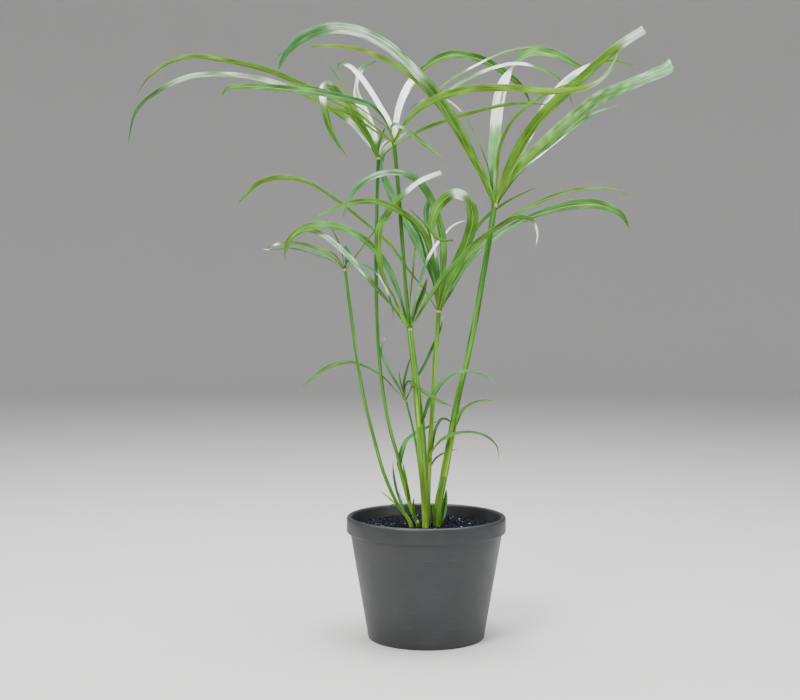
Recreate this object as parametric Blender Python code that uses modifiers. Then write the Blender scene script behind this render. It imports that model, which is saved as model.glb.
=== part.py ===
"""Potted umbrella sedge: seven stems, each with a whorl of arching bracts, in a plain round pot of gravel.

Metres, +Z up. The origin is the centre of the pot's flat base. The plant's front faces -Y.

The plant's routes are given as points of one front view, 800 by 700 pixels: pixels right, pixels down, and a
depth in millimetres behind the pot's axis. view_point() turns them into places in the object's own frame.
"""
import math
from collections import namedtuple

import bmesh
import bpy
from mathutils import Vector, noise

MM = 0.001
SHARP_ANGLE = math.radians(40)
MERGE = 0.01 * MM

# Pot, plain and tapered, with a rolled rim
POT_HEIGHT = 92 * MM
POT_BASE_RADIUS = 44 * MM
POT_TOP_RADIUS = 57 * MM
POT_RIM_RADIUS = 60 * MM
POT_RIM_HEIGHT = 12 * MM
POT_WALL = 2.4 * MM
POT_FLOOR = 3 * MM
POT_EDGE_BEVEL = 1 * MM
POT_RIM_INNER_RADIUS = POT_RIM_RADIUS - POT_WALL * 1.6
POT_RIM_FOOT = POT_HEIGHT - POT_RIM_HEIGHT
POT_STEPS = 48
POT_ROUGHNESS = 0.45

# Gravel fill
GRAVEL_Z = 84 * MM
GRAVEL_RIPPLE = 0.8 * MM
GRAVEL_RIPPLE_SCALE = 70
GRAVEL_RIPPLE_DROP = 0.3
GRAVEL_RING_SHARES = (0.2, 0.4, 0.6, 0.8, 1.0)
GRAVEL_STEPS = 40
GRAVEL_ROUGHNESS = 0.6
STEM_DEPTH_IN_GRAVEL = 17 * MM

# Room left between neighbouring solids
GAP = 0.3 * MM
WALL_GAP = 0.45 * MM

# The front view that the routes are measured in
VIEW_CENTRE = (400, 350)
VIEW_FOCAL = 1750
VIEW_DISTANCE = 1050 * MM
PLANT_AXIS_PX = 433
GRAVEL_LINE_PX = 654

# Blades
BLADE_THICKNESS = 0.5 * MM
BLADE_FOLD = 0.22
SEGMENT_LENGTH = 17 * MM
FEWEST_SEGMENTS = 6
MOST_SEGMENTS = 14
BEND_LENGTH = 20 * MM
FINE_STEPS = 12
FULL_WIDTH_AT = 0.3
TAPER_FROM = 0.55
TAPER_POWER = 1.5
SHOWN_WIDTH = 0.8
TURN_IN_BY = 0.22
WIDEST_ROOT = 2 * MM
ROOT_SHARE_OF_SLOT = 0.62
COLLAR_DROP = 1.5 * MM
RING_CLEARANCE = 1.15 * MM
INNER_RISE = 0.6 * MM
INNER_SHARE = 0.5
INNER_ROOT = 0.8 * MM
FUSED_ROOT_SHARE = 0.5
WIDEST_SLOT = 120

# Stems
STEM_BEVEL_RESOLUTION = 2
STEM_POINT_SPACING = 26 * MM
FEWEST_STEM_SEGMENTS = 8

# Finish of stems and blades
PLANT_ROUGHNESS = 0.4

OUTER, INNER, FUSED = "outer", "inner", "fused"
UPPER, UNDER = 1, -1

Stem = namedtuple("Stem", "route depths radii_mm colour")
Blade = namedtuple("Blade", "tier slot width_mm face depths route")

LIME = (0.22, 0.42, 0.05)
OLIVE = (0.16, 0.32, 0.04)
GREEN = (0.08, 0.24, 0.04)
TEAL = (0.10, 0.30, 0.12)
DARK = (0.05, 0.17, 0.04)
PLASTIC_GREY = (0.035, 0.036, 0.038)
GRAVEL_BLACK = (0.012, 0.016, 0.022)

# Stems, from the gravel up to the whorl: route pixels, depths and radii in millimetres at even steps
STEMS = {
    "far_left_short": Stem(
        [(414, 654), (396, 625), (380, 588), (369, 550), (357, 503), (347, 449), (339, 390), (331, 330)],
        (-1, 1, 5), (1.35, 1.3, 1.1), GREEN),
    "left_tall": Stem(
        [(423, 654), (415, 635), (406, 603), (398, 570), (388, 534), (379, 487), (374, 445), (371, 390),
         (370, 330), (371, 262), (373, 192)],
        (0, 4, 9, 14), (1.5, 1.35, 1.3, 1.3), DARK),
    "middle_tall": Stem(
        [(433, 654), (430, 540), (419, 450), (408, 365), (402, 285), (397, 220), (392.5, 173)],
        (8, 5, -3, -8, -11, -22), (1.5, 1.45, 1.4, 1.5), GREEN),
    "left_short": Stem(
        [(432, 654), (430, 611), (426, 560), (422.5, 510), (418, 459), (412, 404)],
        (-5, -11, -18), (2.5, 2.3, 2.2), LIME),
    "middle_short": Stem(
        [(435, 654), (435, 617), (437, 565), (440, 518), (443.5, 455), (448.4, 382)],
        (1, 0, 0), (1.95, 1.85, 1.75), OLIVE),
    "right_tall": Stem(
        [(447, 654), (448, 633), (455, 592), (464, 541), (473, 491), (483, 449), (494, 396), (503, 344),
         (511, 297), (518, 251)],
        (0, 1, 2), (3.3, 2.7, 2.3, 2.15, 2.1), OLIVE),
    "little": Stem(
        [(429, 654), (427, 610), (421, 558), (416, 530), (407, 494)],
        (12, 8, 0), (0.9, 0.85, 0.8), GREEN),
}

# Bracts and basal leaves by shoot, in order round the whorl. Each has its tier, its slot in degrees round
# the stem (0 is +X, 90 is away), its width in millimetres, the face that the front view sees, its depths
# in millimetres (one for each route point, or at even steps after the root) and its route.
BLADES = {
    "far_left_short": [
        Blade(FUSED, 190, 1.3, UPPER, (1, 0, 0),
              [(331, 330), (314, 321), (297, 315), (280, 309), (266, 306), (245, 307), (228, 307)]),
        Blade(FUSED, 165, 1.9, UPPER, (7, 7, 7),
              [(331, 330), (320, 321), (301, 310), (285, 302), (268, 299), (250, 300), (231, 305)]),
        Blade(FUSED, 140, 1.6, UPPER, (14, 18),
              [(331, 328), (318, 314), (301, 306), (287, 303), (268, 305)]),
        Blade(FUSED, 120, 1.1, UNDER, (4, 2),
              [(331, 330), (326, 306), (318, 287), (306, 266)]),
        Blade(FUSED, 330, 1.3, UNDER, (-12, -18, -18),
              [(333, 328), (352, 306), (363, 291), (377, 276), (392, 265)]),
        Blade(FUSED, 320, 2.1, UPPER, (-4, -10, -14, -16),
              [(332, 330), (341, 327), (352, 326), (364, 331), (375, 342), (386, 365), (393, 395)]),
        Blade(FUSED, 90, 2.3, UNDER, (8,),
              [(332, 329), (335, 315), (331, 303)]),
        Blade(FUSED, 0, 1.5, UPPER, (-3, -4),
              [(405, 642), (401, 625), (396, 611), (393, 598), (390.5, 573)]),
        Blade(FUSED, 200, 1.3, UPPER, (-2, -3),
              [(396, 625), (386, 619), (375, 610)]),
    ],
    "left_tall": [
        Blade(OUTER, 205, 4.2, UNDER, (6, 0, -6),
              [(371, 190), (357, 171), (340, 151), (325, 140), (306, 128), (290, 121)]),
        Blade(OUTER, 255, 5.2, UNDER, (11, 5, -2, -8, -14, -22, -40, -50, -50, -48, -46),
              [(372, 190), (363, 173), (351, 154), (339, 137), (326, 119), (315, 106.5), (305.5, 109),
               (307, 132), (313, 155), (322, 174), (335.5, 193)]),
        Blade(OUTER, 100, 5.0, UPPER, (22, 32, 40),
              [(373, 188), (366, 163), (357, 140), (349, 124), (345.5, 108), (348, 94), (354, 82),
               (369, 75)]),
        Blade(OUTER, 55, 2.5, UNDER, (20,),
              [(373, 188), (374, 177), (377, 168), (382, 155)]),
        Blade(OUTER, 150, 1.3, UNDER, (14, 16, 18),
              [(373, 188), (358, 158), (340, 124), (321, 92), (302, 64.5)]),
        Blade(OUTER, 320, 3.0, UNDER, (6, 0, -8, -14),
              [(374, 190), (397, 177), (424, 161), (458, 147), (496, 136), (540, 127), (575, 127),
               (600, 132)]),
        Blade(OUTER, 10, 1.8, UPPER, (12,),
              [(374, 187), (378, 178), (385, 170)]),
        Blade(FUSED, 90, 2.4, UPPER, (10, 12, 8),
              [(400, 577), (403, 560), (408, 547), (420, 537), (434, 530), (449, 520)]),
        Blade(FUSED, 0, 1.5, UPPER, (-2, -3),
              [(413, 630), (409, 606), (403, 572)]),
    ],
    "middle_tall": [
        Blade(OUTER, 225, 4.2, UPPER, (-44, -60, -62, -62),
              [(391, 168), (381, 148), (363, 130), (340, 122), (308, 115), (254, 108.5), (204, 106),
               (187, 108), (176, 121)]),
        Blade(OUTER, 195, 3.2, UNDER, (-33, -34, -37, -40),
              [(390, 168), (367, 155), (340, 135), (310, 119), (278, 103), (230, 84), (179, 73),
               (143, 69), (112, 77), (88, 95), (72, 117)]),
        Blade(OUTER, 165, 3.6, UNDER, (-25, -26, -28, -30),
              [(390, 171), (367, 160), (340, 142), (305, 127), (268, 109), (230, 97), (179, 90.5),
               (137, 94), (102, 110), (75, 132), (61, 180)]),
        Blade(INNER, 210, 1.2, UNDER, (-42, -51, -52, -50),
              [(391, 166), (384, 157), (367, 144), (345, 129), (318, 114), (284, 105), (255, 104),
               (217, 104.6), (190, 117)]),
        Blade(OUTER, 125, 3.6, UPPER, (-14, -8, -4),
              [(391, 166), (387, 153), (375, 131), (363, 111), (349, 92), (336, 80), (326, 77),
               (320, 87)]),
        Blade(OUTER, 80, 5.4, UPPER, (-12, 6, 22, 34, 38),
              [(394, 166), (396, 150), (402, 126), (414, 102), (434, 80), (463, 67), (495, 71),
               (529, 88), (552, 108), (564.5, 133)]),
        Blade(OUTER, 305, 5.4, UNDER, (-54, -63, -64, -62, -56),
              [(393, 169), (409, 150), (426, 134), (443, 122.5), (483, 110), (529, 107.6), (596, 112),
               (631, 107), (652, 95), (666, 76), (675.4, 46.5)]),
        Blade(INNER, 60, 1.5, UPPER, (-13, -8, -6, -4),
              [(394, 165), (413, 141), (436, 119), (460, 99), (495, 79), (529, 63), (560, 57),
               (588.5, 59)]),
        Blade(OUTER, 15, 3.0, UPPER, (-25, -10, 2, 9, 13),
              [(394, 167), (405, 152), (425, 133), (449, 117), (483, 97), (518, 82), (550, 77.5),
               (582, 87), (602, 101), (617, 137)]),
        Blade(OUTER, 265, 3.4, UPPER, (-24, -36, -46, -54, -60, -65, -69),
              [(392, 171), (388, 157), (394, 152), (409, 160), (428, 175), (444, 188), (460, 199)]),
    ],
    "left_short": [
        Blade(OUTER, 200, 4.2, UPPER, (-22, -15, -2, 16),
              [(411, 402), (392, 382), (371, 357), (350, 331), (327, 308), (303, 289), (283, 283),
               (266, 293), (258, 313)]),
        Blade(OUTER, 165, 4.2, UPPER, (-14, -8, -6, -6),
              [(411, 399), (402, 378), (392, 348), (377, 319), (356, 296), (329, 281), (304, 277),
               (278, 281), (261, 296), (256, 325)]),
        Blade(OUTER, 240, 4.2, UPPER, (-19, -28, -31, -29, -25, -23, -29, -34, -36),
              [(410, 398), (394, 368), (380, 340), (374, 306), (375, 281), (388, 258), (407, 237),
               (428, 221), (451, 212.5)]),
        Blade(INNER, 100, 1.5, UNDER, (-21, -26, -27),
              [(413, 401), (413, 369), (416, 338), (419, 306), (424, 277)]),
        Blade(OUTER, 85, 2.2, UPPER, (-19, -17, -10, -2),
              [(414, 399), (421, 366), (429, 335), (439, 311), (452, 293), (468, 276), (484, 270)]),
        Blade(OUTER, 25, 3.0, UNDER, (-15, -11),
              [(414, 400), (421, 382), (430, 359), (434, 342)]),
        Blade(OUTER, 315, 4.0, UNDER, (-28, -33, -34, -32),
              [(415, 401), (441, 362), (458, 337), (476, 319), (494, 300), (520, 281), (549, 267),
               (564, 270), (571, 287), (569, 305)]),
        Blade(FUSED, 0, 3.0, UPPER, (-8, -12, -14),
              [(426, 530), (433, 512), (441, 492), (452, 475), (466, 463), (484, 459), (505, 464),
               (528, 484)]),
    ],
    "middle_short": [
        Blade(OUTER, 130, 5.4, UPPER, (11, 19, 26, 31, 34),
              [(448, 378), (445, 359), (436, 330), (424, 306), (405, 270), (386, 233), (377, 206),
               (379, 187), (391, 174), (412, 159)]),
        Blade(OUTER, 158, 4.8, UNDER, (22, 36, 44, 50, 50),
              [(447, 378), (434, 363), (411, 334), (386, 300), (352, 270), (314, 241), (280, 222),
               (251, 218), (228, 223), (210, 237), (195, 255)]),
        Blade(OUTER, 210, 4.2, UPPER, (-8, -19, -31, -34, -34),
              [(447, 378), (444, 348), (438, 317), (430, 289), (419, 275), (398, 259), (369, 248),
               (343, 249), (318, 257), (282, 272)]),
        Blade(OUTER, 185, 2.0, UPPER, (-1, -13, -19, -20),
              [(447, 374), (440, 345), (432, 316), (422, 286), (408, 266), (388, 253), (366, 248),
               (344, 244)]),
        Blade(OUTER, 240, 5.2, UNDER, (-17, -24, -28, -38, -46),
              [(449, 376), (451, 343), (453, 315), (452, 290), (445, 263), (434, 238), (418, 219),
               (397, 212), (369, 216), (345, 232), (327, 270)]),
        Blade(OUTER, 275, 6.0, UNDER,
              (-4, -7, -10, -13, -17, -23, -31, -38, -43, -46, -47, -46),
              [(450, 376), (456, 358), (469, 331), (484, 297), (491, 268), (486, 248), (469, 238),
               (453, 247), (442, 264), (440, 283), (449, 295), (465, 296)]),
        Blade(OUTER, 95, 3.0, UPPER, (6, 8, 9),
              [(448, 376), (446, 343), (440, 306), (434, 280), (432, 258), (440, 236)]),
        Blade(INNER, 150, 1.2, UNDER, (0, -1, -5),
              [(448, 374), (445, 345), (440, 308), (433, 279), (419, 264), (404.5, 249)]),
        Blade(OUTER, 60, 2.4, UNDER, (8, 17, 21, 23),
              [(450, 376), (469, 331), (487, 296), (505, 269), (530, 250), (571, 229)]),
        Blade(OUTER, 320, 3.0, UPPER, (3, 11, 13, 13, 11),
              [(451, 376), (476, 334), (500, 300), (525, 277), (564, 253), (604, 237), (640, 231),
               (668, 233), (693, 243)]),
        Blade(OUTER, 15, 5.4, UPPER, (17, 30, 40, 48, 54),
              [(451, 377), (464, 362), (483, 329), (506, 303), (540, 278), (584, 260), (622, 252),
               (652, 253), (674, 263), (687, 282)]),
        Blade(FUSED, 20, 2.4, UNDER, (1, 2, 5),
              [(437, 574), (442, 552), (447, 527), (453, 519), (461, 521), (466, 530)]),
        Blade(FUSED, 270, 2.4, UPPER, (-5, -8, -9, -9),
              [(436, 574), (441, 560), (452, 547), (469, 538), (491, 536), (510, 542), (521, 553),
               (524.4, 571)]),
        Blade(FUSED, 40, 1.2, UPPER, (5, 8),
              [(438, 580), (446, 568), (457, 561.5), (473, 557)]),
    ],
    "right_tall": [
        Blade(OUTER, 225, 8.0, UNDER, (-22, -48, -75, -104, -115),
              [(516, 247), (508, 229), (490, 195), (466, 150), (440, 111), (414, 83), (381, 54),
               (345, 38), (308, 36), (279, 47), (260, 64), (246, 90)]),
        Blade(OUTER, 195, 2.4, UNDER, (-8, -26, -48, -74, -90),
              [(515, 248), (503, 224), (480, 182), (460, 147), (437, 117), (410, 90), (377, 70),
               (339, 58), (308, 55.5), (277, 57.5)]),
        Blade(INNER, 200, 1.8, UNDER, (-12, -36, -62, -88, -100),
              [(516, 245), (505, 215), (480, 165), (441, 106), (400, 64), (350, 38), (310, 32),
               (283, 39), (260, 58), (234, 84)]),
        Blade(INNER, 130, 1.5, UNDER, (8, 12, 15, 15),
              [(516, 244), (511, 212), (496, 171), (478, 139), (460, 123.5), (441, 119), (420, 127),
               (402, 144)]),
        Blade(OUTER, 105, 7.0, UPPER, (11, 18, 24, 25, 26),
              [(517, 247), (516, 222), (519, 180), (521, 148), (524, 122), (530, 100), (541, 80),
               (557, 65), (590, 66), (620, 80), (645, 95)]),
        Blade(OUTER, 325, 7.0, UNDER, (-10, -18, -27, -35, -44),
              [(520, 247), (539, 201), (563, 159), (593, 125), (625, 97), (659, 66), (682, 49),
               (703, 36)]),
        Blade(OUTER, 15, 5.2, UPPER, (7, 3, -2, -5, -6),
              [(520, 246), (534, 221), (551, 187), (568, 155), (584, 124), (608, 97), (637, 80),
               (664, 75), (695, 82)]),
        Blade(OUTER, 45, 9.0, UNDER, (20, 48, 82, 116, 142, 146),
              [(519, 248), (545, 212), (581, 177), (617, 145), (645, 123), (687, 104), (716, 92),
               (735, 83), (738, 80)]),
        Blade(OUTER, 72, 3.6, UPPER, (32, 70, 100, 114),
              [(519, 247), (545, 216), (580, 184), (615, 157), (645, 137), (671, 128.5)]),
        Blade(OUTER, 280, 2.4, UNDER, (-14, -26, -36, -42),
              [(519, 247), (521, 220), (525, 178), (539, 149), (563, 126), (593, 109), (631, 95)]),
        Blade(FUSED, 350, 3.0, UPPER, (-3, -5, -6),
              [(464, 545), (471, 524), (478, 509), (490, 500), (505, 496), (521, 497)]),
        Blade(FUSED, 10, 2.6, UPPER, (1, 1),
              [(450, 656), (455, 642), (457.5, 626), (458.5, 607)]),
    ],
    "little": [
        Blade(FUSED, 180, 2.7, UPPER, (9, 12, 10, 6),
              [(406, 493), (394, 483), (379, 467), (360, 455), (335, 448), (313, 453), (293, 466),
               (276, 479)]),
        Blade(FUSED, 150, 2.3, UPPER, (5, 9, 9),
              [(407, 492), (396, 476), (384, 454), (376, 433), (382, 415)]),
        Blade(FUSED, 120, 1.1, UNDER, (1,),
              [(407, 492), (401, 475), (398, 457)]),
        Blade(FUSED, 270, 1.5, UNDER, (-7, -14, -20),
              [(407, 493), (404.5, 477), (408, 459), (414, 439)]),
        Blade(FUSED, 40, 2.4, UNDER, (2, 6, 8),
              [(408, 492), (416, 477), (428, 456), (441, 429), (452, 402), (454, 389)]),
        Blade(FUSED, 290, 2.7, UPPER, (0, -9, -18, -25, -29, -32, -33),
              [(407, 493), (407, 479), (412, 473), (421, 479), (436, 489), (452, 498), (468, 504)]),
    ],
}


def view_point(px, py, depth_mm):
    """The place in the object's frame that the front view shows at a pixel, at a depth behind the axis."""
    depth = depth_mm * MM
    scale = (VIEW_DISTANCE + depth) / VIEW_FOCAL
    eye = eye_place()
    x = eye.x + (px - VIEW_CENTRE[0]) * scale
    z = eye.z - (py - VIEW_CENTRE[1]) * scale
    return Vector((x, depth, z))


def eye_place():
    """Where the front view is seen from."""
    metres_per_pixel = VIEW_DISTANCE / VIEW_FOCAL
    x = (VIEW_CENTRE[0] - PLANT_AXIS_PX) * metres_per_pixel
    z = GRAVEL_Z + (GRAVEL_LINE_PX - VIEW_CENTRE[1]) * metres_per_pixel
    return Vector((x, -VIEW_DISTANCE, z))


def at_even_steps(values, share):
    """A value at a share from 0 to 1 of a list whose entries are evenly spaced."""
    place = share * (len(values) - 1)
    index = min(int(place), len(values) - 2)
    rest = place - index
    return values[index] * (1 - rest) + values[index + 1] * rest


def travelled(points):
    """How far along a chain each point lies, from 0 to 1."""
    reach = [0.0]
    for a, b in zip(points, points[1:]):
        reach.append(reach[-1] + (Vector(b) - Vector(a)).length)
    return [r / reach[-1] for r in reach]


def with_depths(route, depths):
    """Route points in the object's frame. Depths are one a point, or evenly spaced along the route."""
    shares = travelled(route)
    if len(depths) == len(route):
        return [view_point(px, py, d) for (px, py), d in zip(route, depths)]
    return [view_point(px, py, at_even_steps(depths, s)) for (px, py), s in zip(route, shares)]


def crowded(points):
    """As travelled, but a bend counts as extra length, so that points spread by it crowd where it bends."""
    reach = [0.0]
    before = points[1] - points[0]
    for a, b in zip(points, points[1:]):
        step = b - a
        reach.append(reach[-1] + step.length + BEND_LENGTH * before.angle(step, 0.0))
        before = step
    return [r / reach[-1] for r in reach]


def slopes_at(points):
    """Direction of travel at each point of a chain, weighted towards its shorter neighbouring span."""
    spans = [(b - a).length for a, b in zip(points, points[1:])]
    rates = [(b - a) / span for a, b, span in zip(points, points[1:], spans)]
    inner = [(r0 * s1 + r1 * s0) / (s0 + s1)
             for r0, r1, s0, s1 in zip(rates, rates[1:], spans, spans[1:])]
    return [rates[0]] + inner + [rates[-1]]


def smooth_chain(points, count):
    """count + 1 points along a smooth curve through the given ones, closer together where it bends."""
    slopes = slopes_at(points)
    fine = []
    for start, end, leave, arrive in zip(points, points[1:], slopes, slopes[1:]):
        span = (end - start).length
        for step in range(FINE_STEPS):
            t = step / FINE_STEPS
            fine.append(start * (2 * t ** 3 - 3 * t ** 2 + 1) + leave * span * (t ** 3 - 2 * t ** 2 + t)
                        + end * (3 * t ** 2 - 2 * t ** 3) + arrive * span * (t ** 3 - t ** 2))
    fine.append(points[-1].copy())
    shares = crowded(fine)
    even = []
    index = 0
    for k in range(count + 1):
        want = k / count
        while index < len(fine) - 2 and shares[index + 1] < want:
            index += 1
        span = shares[index + 1] - shares[index]
        rest = min(1.0, (want - shares[index]) / span)
        even.append(fine[index].lerp(fine[index + 1], rest))
    return even


def length_of(points):
    return sum((b - a).length for a, b in zip(points, points[1:]))


def smoothstep(x):
    x = min(1.0, max(0.0, x))
    return x * x * (3 - 2 * x)


def collection(name):
    found = bpy.data.collections.new(name)
    bpy.context.scene.collection.children.link(found)
    return found


def material(name, colour, roughness):
    """A plain finish of one colour."""
    mat = bpy.data.materials.new(name)
    mat.use_nodes = True
    shader = mat.node_tree.nodes["Principled BSDF"]
    shader.inputs["Base Color"].default_value = (*colour, 1)
    shader.inputs["Roughness"].default_value = roughness
    return mat


def mesh_object(name, mesh, home):
    obj = bpy.data.objects.new(name, mesh)
    home.objects.link(obj)
    return obj


def as_mesh(obj, home):
    """Replace a curve or a turned object by its welded mesh."""
    graph = bpy.context.evaluated_depsgraph_get()
    graph.update()
    mesh = bpy.data.meshes.new_from_object(obj.evaluated_get(graph))
    bm = bmesh.new()
    bm.from_mesh(mesh)
    bmesh.ops.remove_doubles(bm, verts=bm.verts, dist=MERGE)
    bmesh.ops.recalc_face_normals(bm, faces=bm.faces)
    bm.to_mesh(mesh)
    bm.free()
    name = obj.name
    place = obj.matrix_world.copy()
    bpy.data.objects.remove(obj)
    new = mesh_object(name, mesh, home)
    new.matrix_world = place
    return new


def turned(name, profile, steps, home):
    """A profile of (radius, height) pairs, turned about the Z axis."""
    mesh = bpy.data.meshes.new(name)
    mesh.from_pydata([(r, 0, z) for r, z in profile], [(i, i + 1) for i in range(len(profile) - 1)], [])
    obj = mesh_object(name, mesh, home)
    screw = obj.modifiers.new("turn", "SCREW")
    screw.axis = "Z"
    screw.steps = steps
    screw.render_steps = steps
    screw.use_merge_vertices = True
    screw.merge_threshold = MERGE
    return obj


def tube(name, points, radii, home):
    """A round bar along a chain of points, with a radius at each."""
    curve = bpy.data.curves.new(name, "CURVE")
    curve.dimensions = "3D"
    curve.bevel_depth = 1
    curve.bevel_resolution = STEM_BEVEL_RESOLUTION
    curve.use_fill_caps = True
    spline = curve.splines.new("POLY")
    spline.points.add(len(points) - 1)
    for target, point, radius in zip(spline.points, points, radii):
        target.co = (*point, 1)
        target.radius = radius
    obj = bpy.data.objects.new(name, curve)
    home.objects.link(obj)
    return as_mesh(obj, home)


def width_share(share, root_share):
    """Width along a blade as a share of its full width."""
    grown = root_share + (1 - root_share) * smoothstep(share / FULL_WIDTH_AT)
    if share <= TAPER_FROM:
        return grown
    return grown * (1 - ((share - TAPER_FROM) / (1 - TAPER_FROM)) ** TAPER_POWER)


def blade_frames(points, slot, face):
    """Across and normal directions along a blade, which turns its face towards the front view."""
    count = len(points) - 1
    eye = eye_place()
    reach = points[-1] - points[0]
    out_at_root = Vector((math.cos(slot), math.sin(slot), 0))
    out_at_tip = Vector((reach.x, reach.y, 0)).normalized()
    most = math.acos(SHOWN_WIDTH)
    wanted = math.pi if face == UPPER else 0.0
    turns = []
    bases = []
    shares = travelled(points)
    for i, point in enumerate(points):
        along = (points[min(i + 1, count)] - points[max(i - 1, 0)]).normalized()
        towards = (point - eye).normalized()
        flat = towards.cross(along).normalized()
        deep = along.cross(flat)
        share = smoothstep(shares[i] / TURN_IN_BY)
        out = (out_at_root * (1 - share) + out_at_tip * share).normalized()
        side = Vector((0, 0, 1)).cross(out)
        side = (side - along * side.dot(along)).normalized()
        natural = math.atan2(side.dot(deep), side.dot(flat))
        off = (natural - wanted + math.pi) % math.tau - math.pi
        held = max(-most, min(most, off))
        turns.append(off * (1 - share) + held * share)
        bases.append((along, flat, deep))
    for i in range(1, len(turns)):
        turns[i] -= math.tau * round((turns[i] - turns[i - 1]) / math.tau)
    for _ in range(2):
        evened = [(a + 2 * b + c) / 4 for a, b, c in zip(turns, turns[1:], turns[2:])]
        turns = [turns[0], *evened, turns[-1]]
    frames = []
    for turn, (along, flat, deep) in zip(turns, bases):
        angle = wanted + turn
        across = flat * math.cos(angle) + deep * math.sin(angle)
        frames.append((across, along.cross(across)))
    return frames


def blade(name, points, width, root_share, slot, face, home):
    """A keeled blade: a loft whose section narrows, turns and flattens from the root to a pointed tip.

    Each ring has four corners: the two edges and the midrib's upper and lower sides.
    """
    frames = blade_frames(points, slot, face)
    shares = travelled(points)
    bm = bmesh.new()
    rings = []
    for i in range(len(points) - 1):
        across, normal = frames[i]
        half = width * width_share(shares[i], root_share) / 2
        lift = normal * half * BLADE_FOLD * 2
        keel = normal * BLADE_THICKNESS / 2
        corners = (points[i] - across * half + lift, points[i] - keel,
                   points[i] + across * half + lift, points[i] + keel)
        rings.append([bm.verts.new(corner) for corner in corners])
    tip = bm.verts.new(points[-1])
    bm.faces.new(rings[0][::-1])
    for lower, upper in zip(rings, rings[1:]):
        for k in range(4):
            bm.faces.new((lower[k], lower[(k + 1) % 4], upper[(k + 1) % 4], upper[k]))
    for k in range(4):
        bm.faces.new((rings[-1][k], rings[-1][(k + 1) % 4], tip))
    bmesh.ops.triangulate(bm, faces=bm.faces)
    mesh = bpy.data.meshes.new(name)
    bm.to_mesh(mesh)
    bm.free()
    return mesh_object(name, mesh, home)


def stem_chain(stem):
    """Points and radii up a stem, from its foot in the gravel to its whorl."""
    points = with_depths(stem.route, stem.depths)
    foot = points[0] - Vector((0, 0, STEM_DEPTH_IN_GRAVEL))
    chain = [foot] + points
    count = max(FEWEST_STEM_SEGMENTS, round(length_of(chain) / STEM_POINT_SPACING))
    even = smooth_chain(chain, count)
    radii = [at_even_steps(stem.radii_mm, i / count) * MM for i in range(count + 1)]
    return even, radii


def slot_widths(blades, radius):
    """Root width of each outer blade, from the room that its neighbours in the whorl leave it."""
    slots = sorted(b.slot for b in blades if b.tier == OUTER)
    widths = {}
    for i, slot in enumerate(slots):
        before = (slot - slots[i - 1]) % 360 or 360
        after = (slots[(i + 1) % len(slots)] - slot) % 360 or 360
        nearest = min(before, after, WIDEST_SLOT)
        chord = 2 * radius * math.sin(math.radians(nearest) / 2)
        widths[slot] = min(WIDEST_ROOT, ROOT_SHARE_OF_SLOT * chord)
    return widths


def centre_at(chain, z):
    """A stem's centre at a height."""
    for a, b in zip(chain, chain[1:]):
        if a.z <= z <= b.z:
            return a.lerp(b, (z - a.z) / (b.z - a.z))
    return chain[-1].copy()


def blade_points(entry, chain, top_radius):
    """A blade's smooth midrib, from its own slot in the whorl or from inside the stem that bears it."""
    whorl = chain[-1]
    foot = view_point(*entry.route[0], 0)
    root = centre_at(chain, foot.z) if entry.tier == FUSED else whorl
    one_each = len(entry.depths) == len(entry.route)
    depths = entry.depths if one_each else (root.y / MM, *entry.depths)
    points = with_depths(entry.route, depths)
    angle = math.radians(entry.slot)
    out = Vector((math.cos(angle), math.sin(angle), 0))
    if entry.tier == OUTER:
        ring = top_radius + RING_CLEARANCE
        points[0] = whorl + out * ring - Vector((0, 0, COLLAR_DROP))
        points.insert(1, whorl + out * (ring + GAP) + Vector((0, 0, COLLAR_DROP)))
    elif entry.tier == INNER:
        points[0] = whorl + out * top_radius * INNER_SHARE + Vector((0, 0, INNER_RISE))
    else:
        points[0] = root - Vector((0, 0, COLLAR_DROP)) + out * top_radius * INNER_SHARE
    count = round(length_of(points) / SEGMENT_LENGTH)
    return smooth_chain(points, min(MOST_SEGMENTS, max(FEWEST_SEGMENTS, count)))


def make_pot(home):
    profile = [
        (0, POT_FLOOR),
        (POT_BASE_RADIUS - POT_WALL, POT_FLOOR),
        (POT_TOP_RADIUS - POT_WALL, POT_RIM_FOOT),
        (POT_RIM_INNER_RADIUS, POT_HEIGHT - POT_WALL),
        (POT_RIM_INNER_RADIUS + POT_EDGE_BEVEL, POT_HEIGHT),
        (POT_RIM_RADIUS - POT_EDGE_BEVEL, POT_HEIGHT),
        (POT_RIM_RADIUS, POT_HEIGHT - POT_EDGE_BEVEL),
        (POT_RIM_RADIUS, POT_RIM_FOOT + POT_EDGE_BEVEL),
        (POT_RIM_RADIUS - POT_EDGE_BEVEL, POT_RIM_FOOT),
        (POT_TOP_RADIUS, POT_RIM_FOOT),
        (POT_BASE_RADIUS, POT_EDGE_BEVEL),
        (POT_BASE_RADIUS - POT_EDGE_BEVEL, 0),
        (0, 0),
    ]
    pot = as_mesh(turned("pot", profile, POT_STEPS, home), home)
    pot.data.shade_smooth()
    pot.data.set_sharp_from_angle(angle=SHARP_ANGLE)
    pot.data.materials.append(material("pot", PLASTIC_GREY, POT_ROUGHNESS))
    return pot


def inner_radius(z):
    """The pot's inner radius at a height below its rim."""
    if z > POT_RIM_FOOT:
        share = (z - POT_RIM_FOOT) / (POT_RIM_HEIGHT - POT_WALL)
        return (POT_TOP_RADIUS - POT_WALL) * (1 - share) + POT_RIM_INNER_RADIUS * share
    share = (z - POT_FLOOR) / (POT_RIM_FOOT - POT_FLOOR)
    return (POT_BASE_RADIUS - POT_WALL) * (1 - share) + (POT_TOP_RADIUS - POT_WALL) * share


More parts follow.
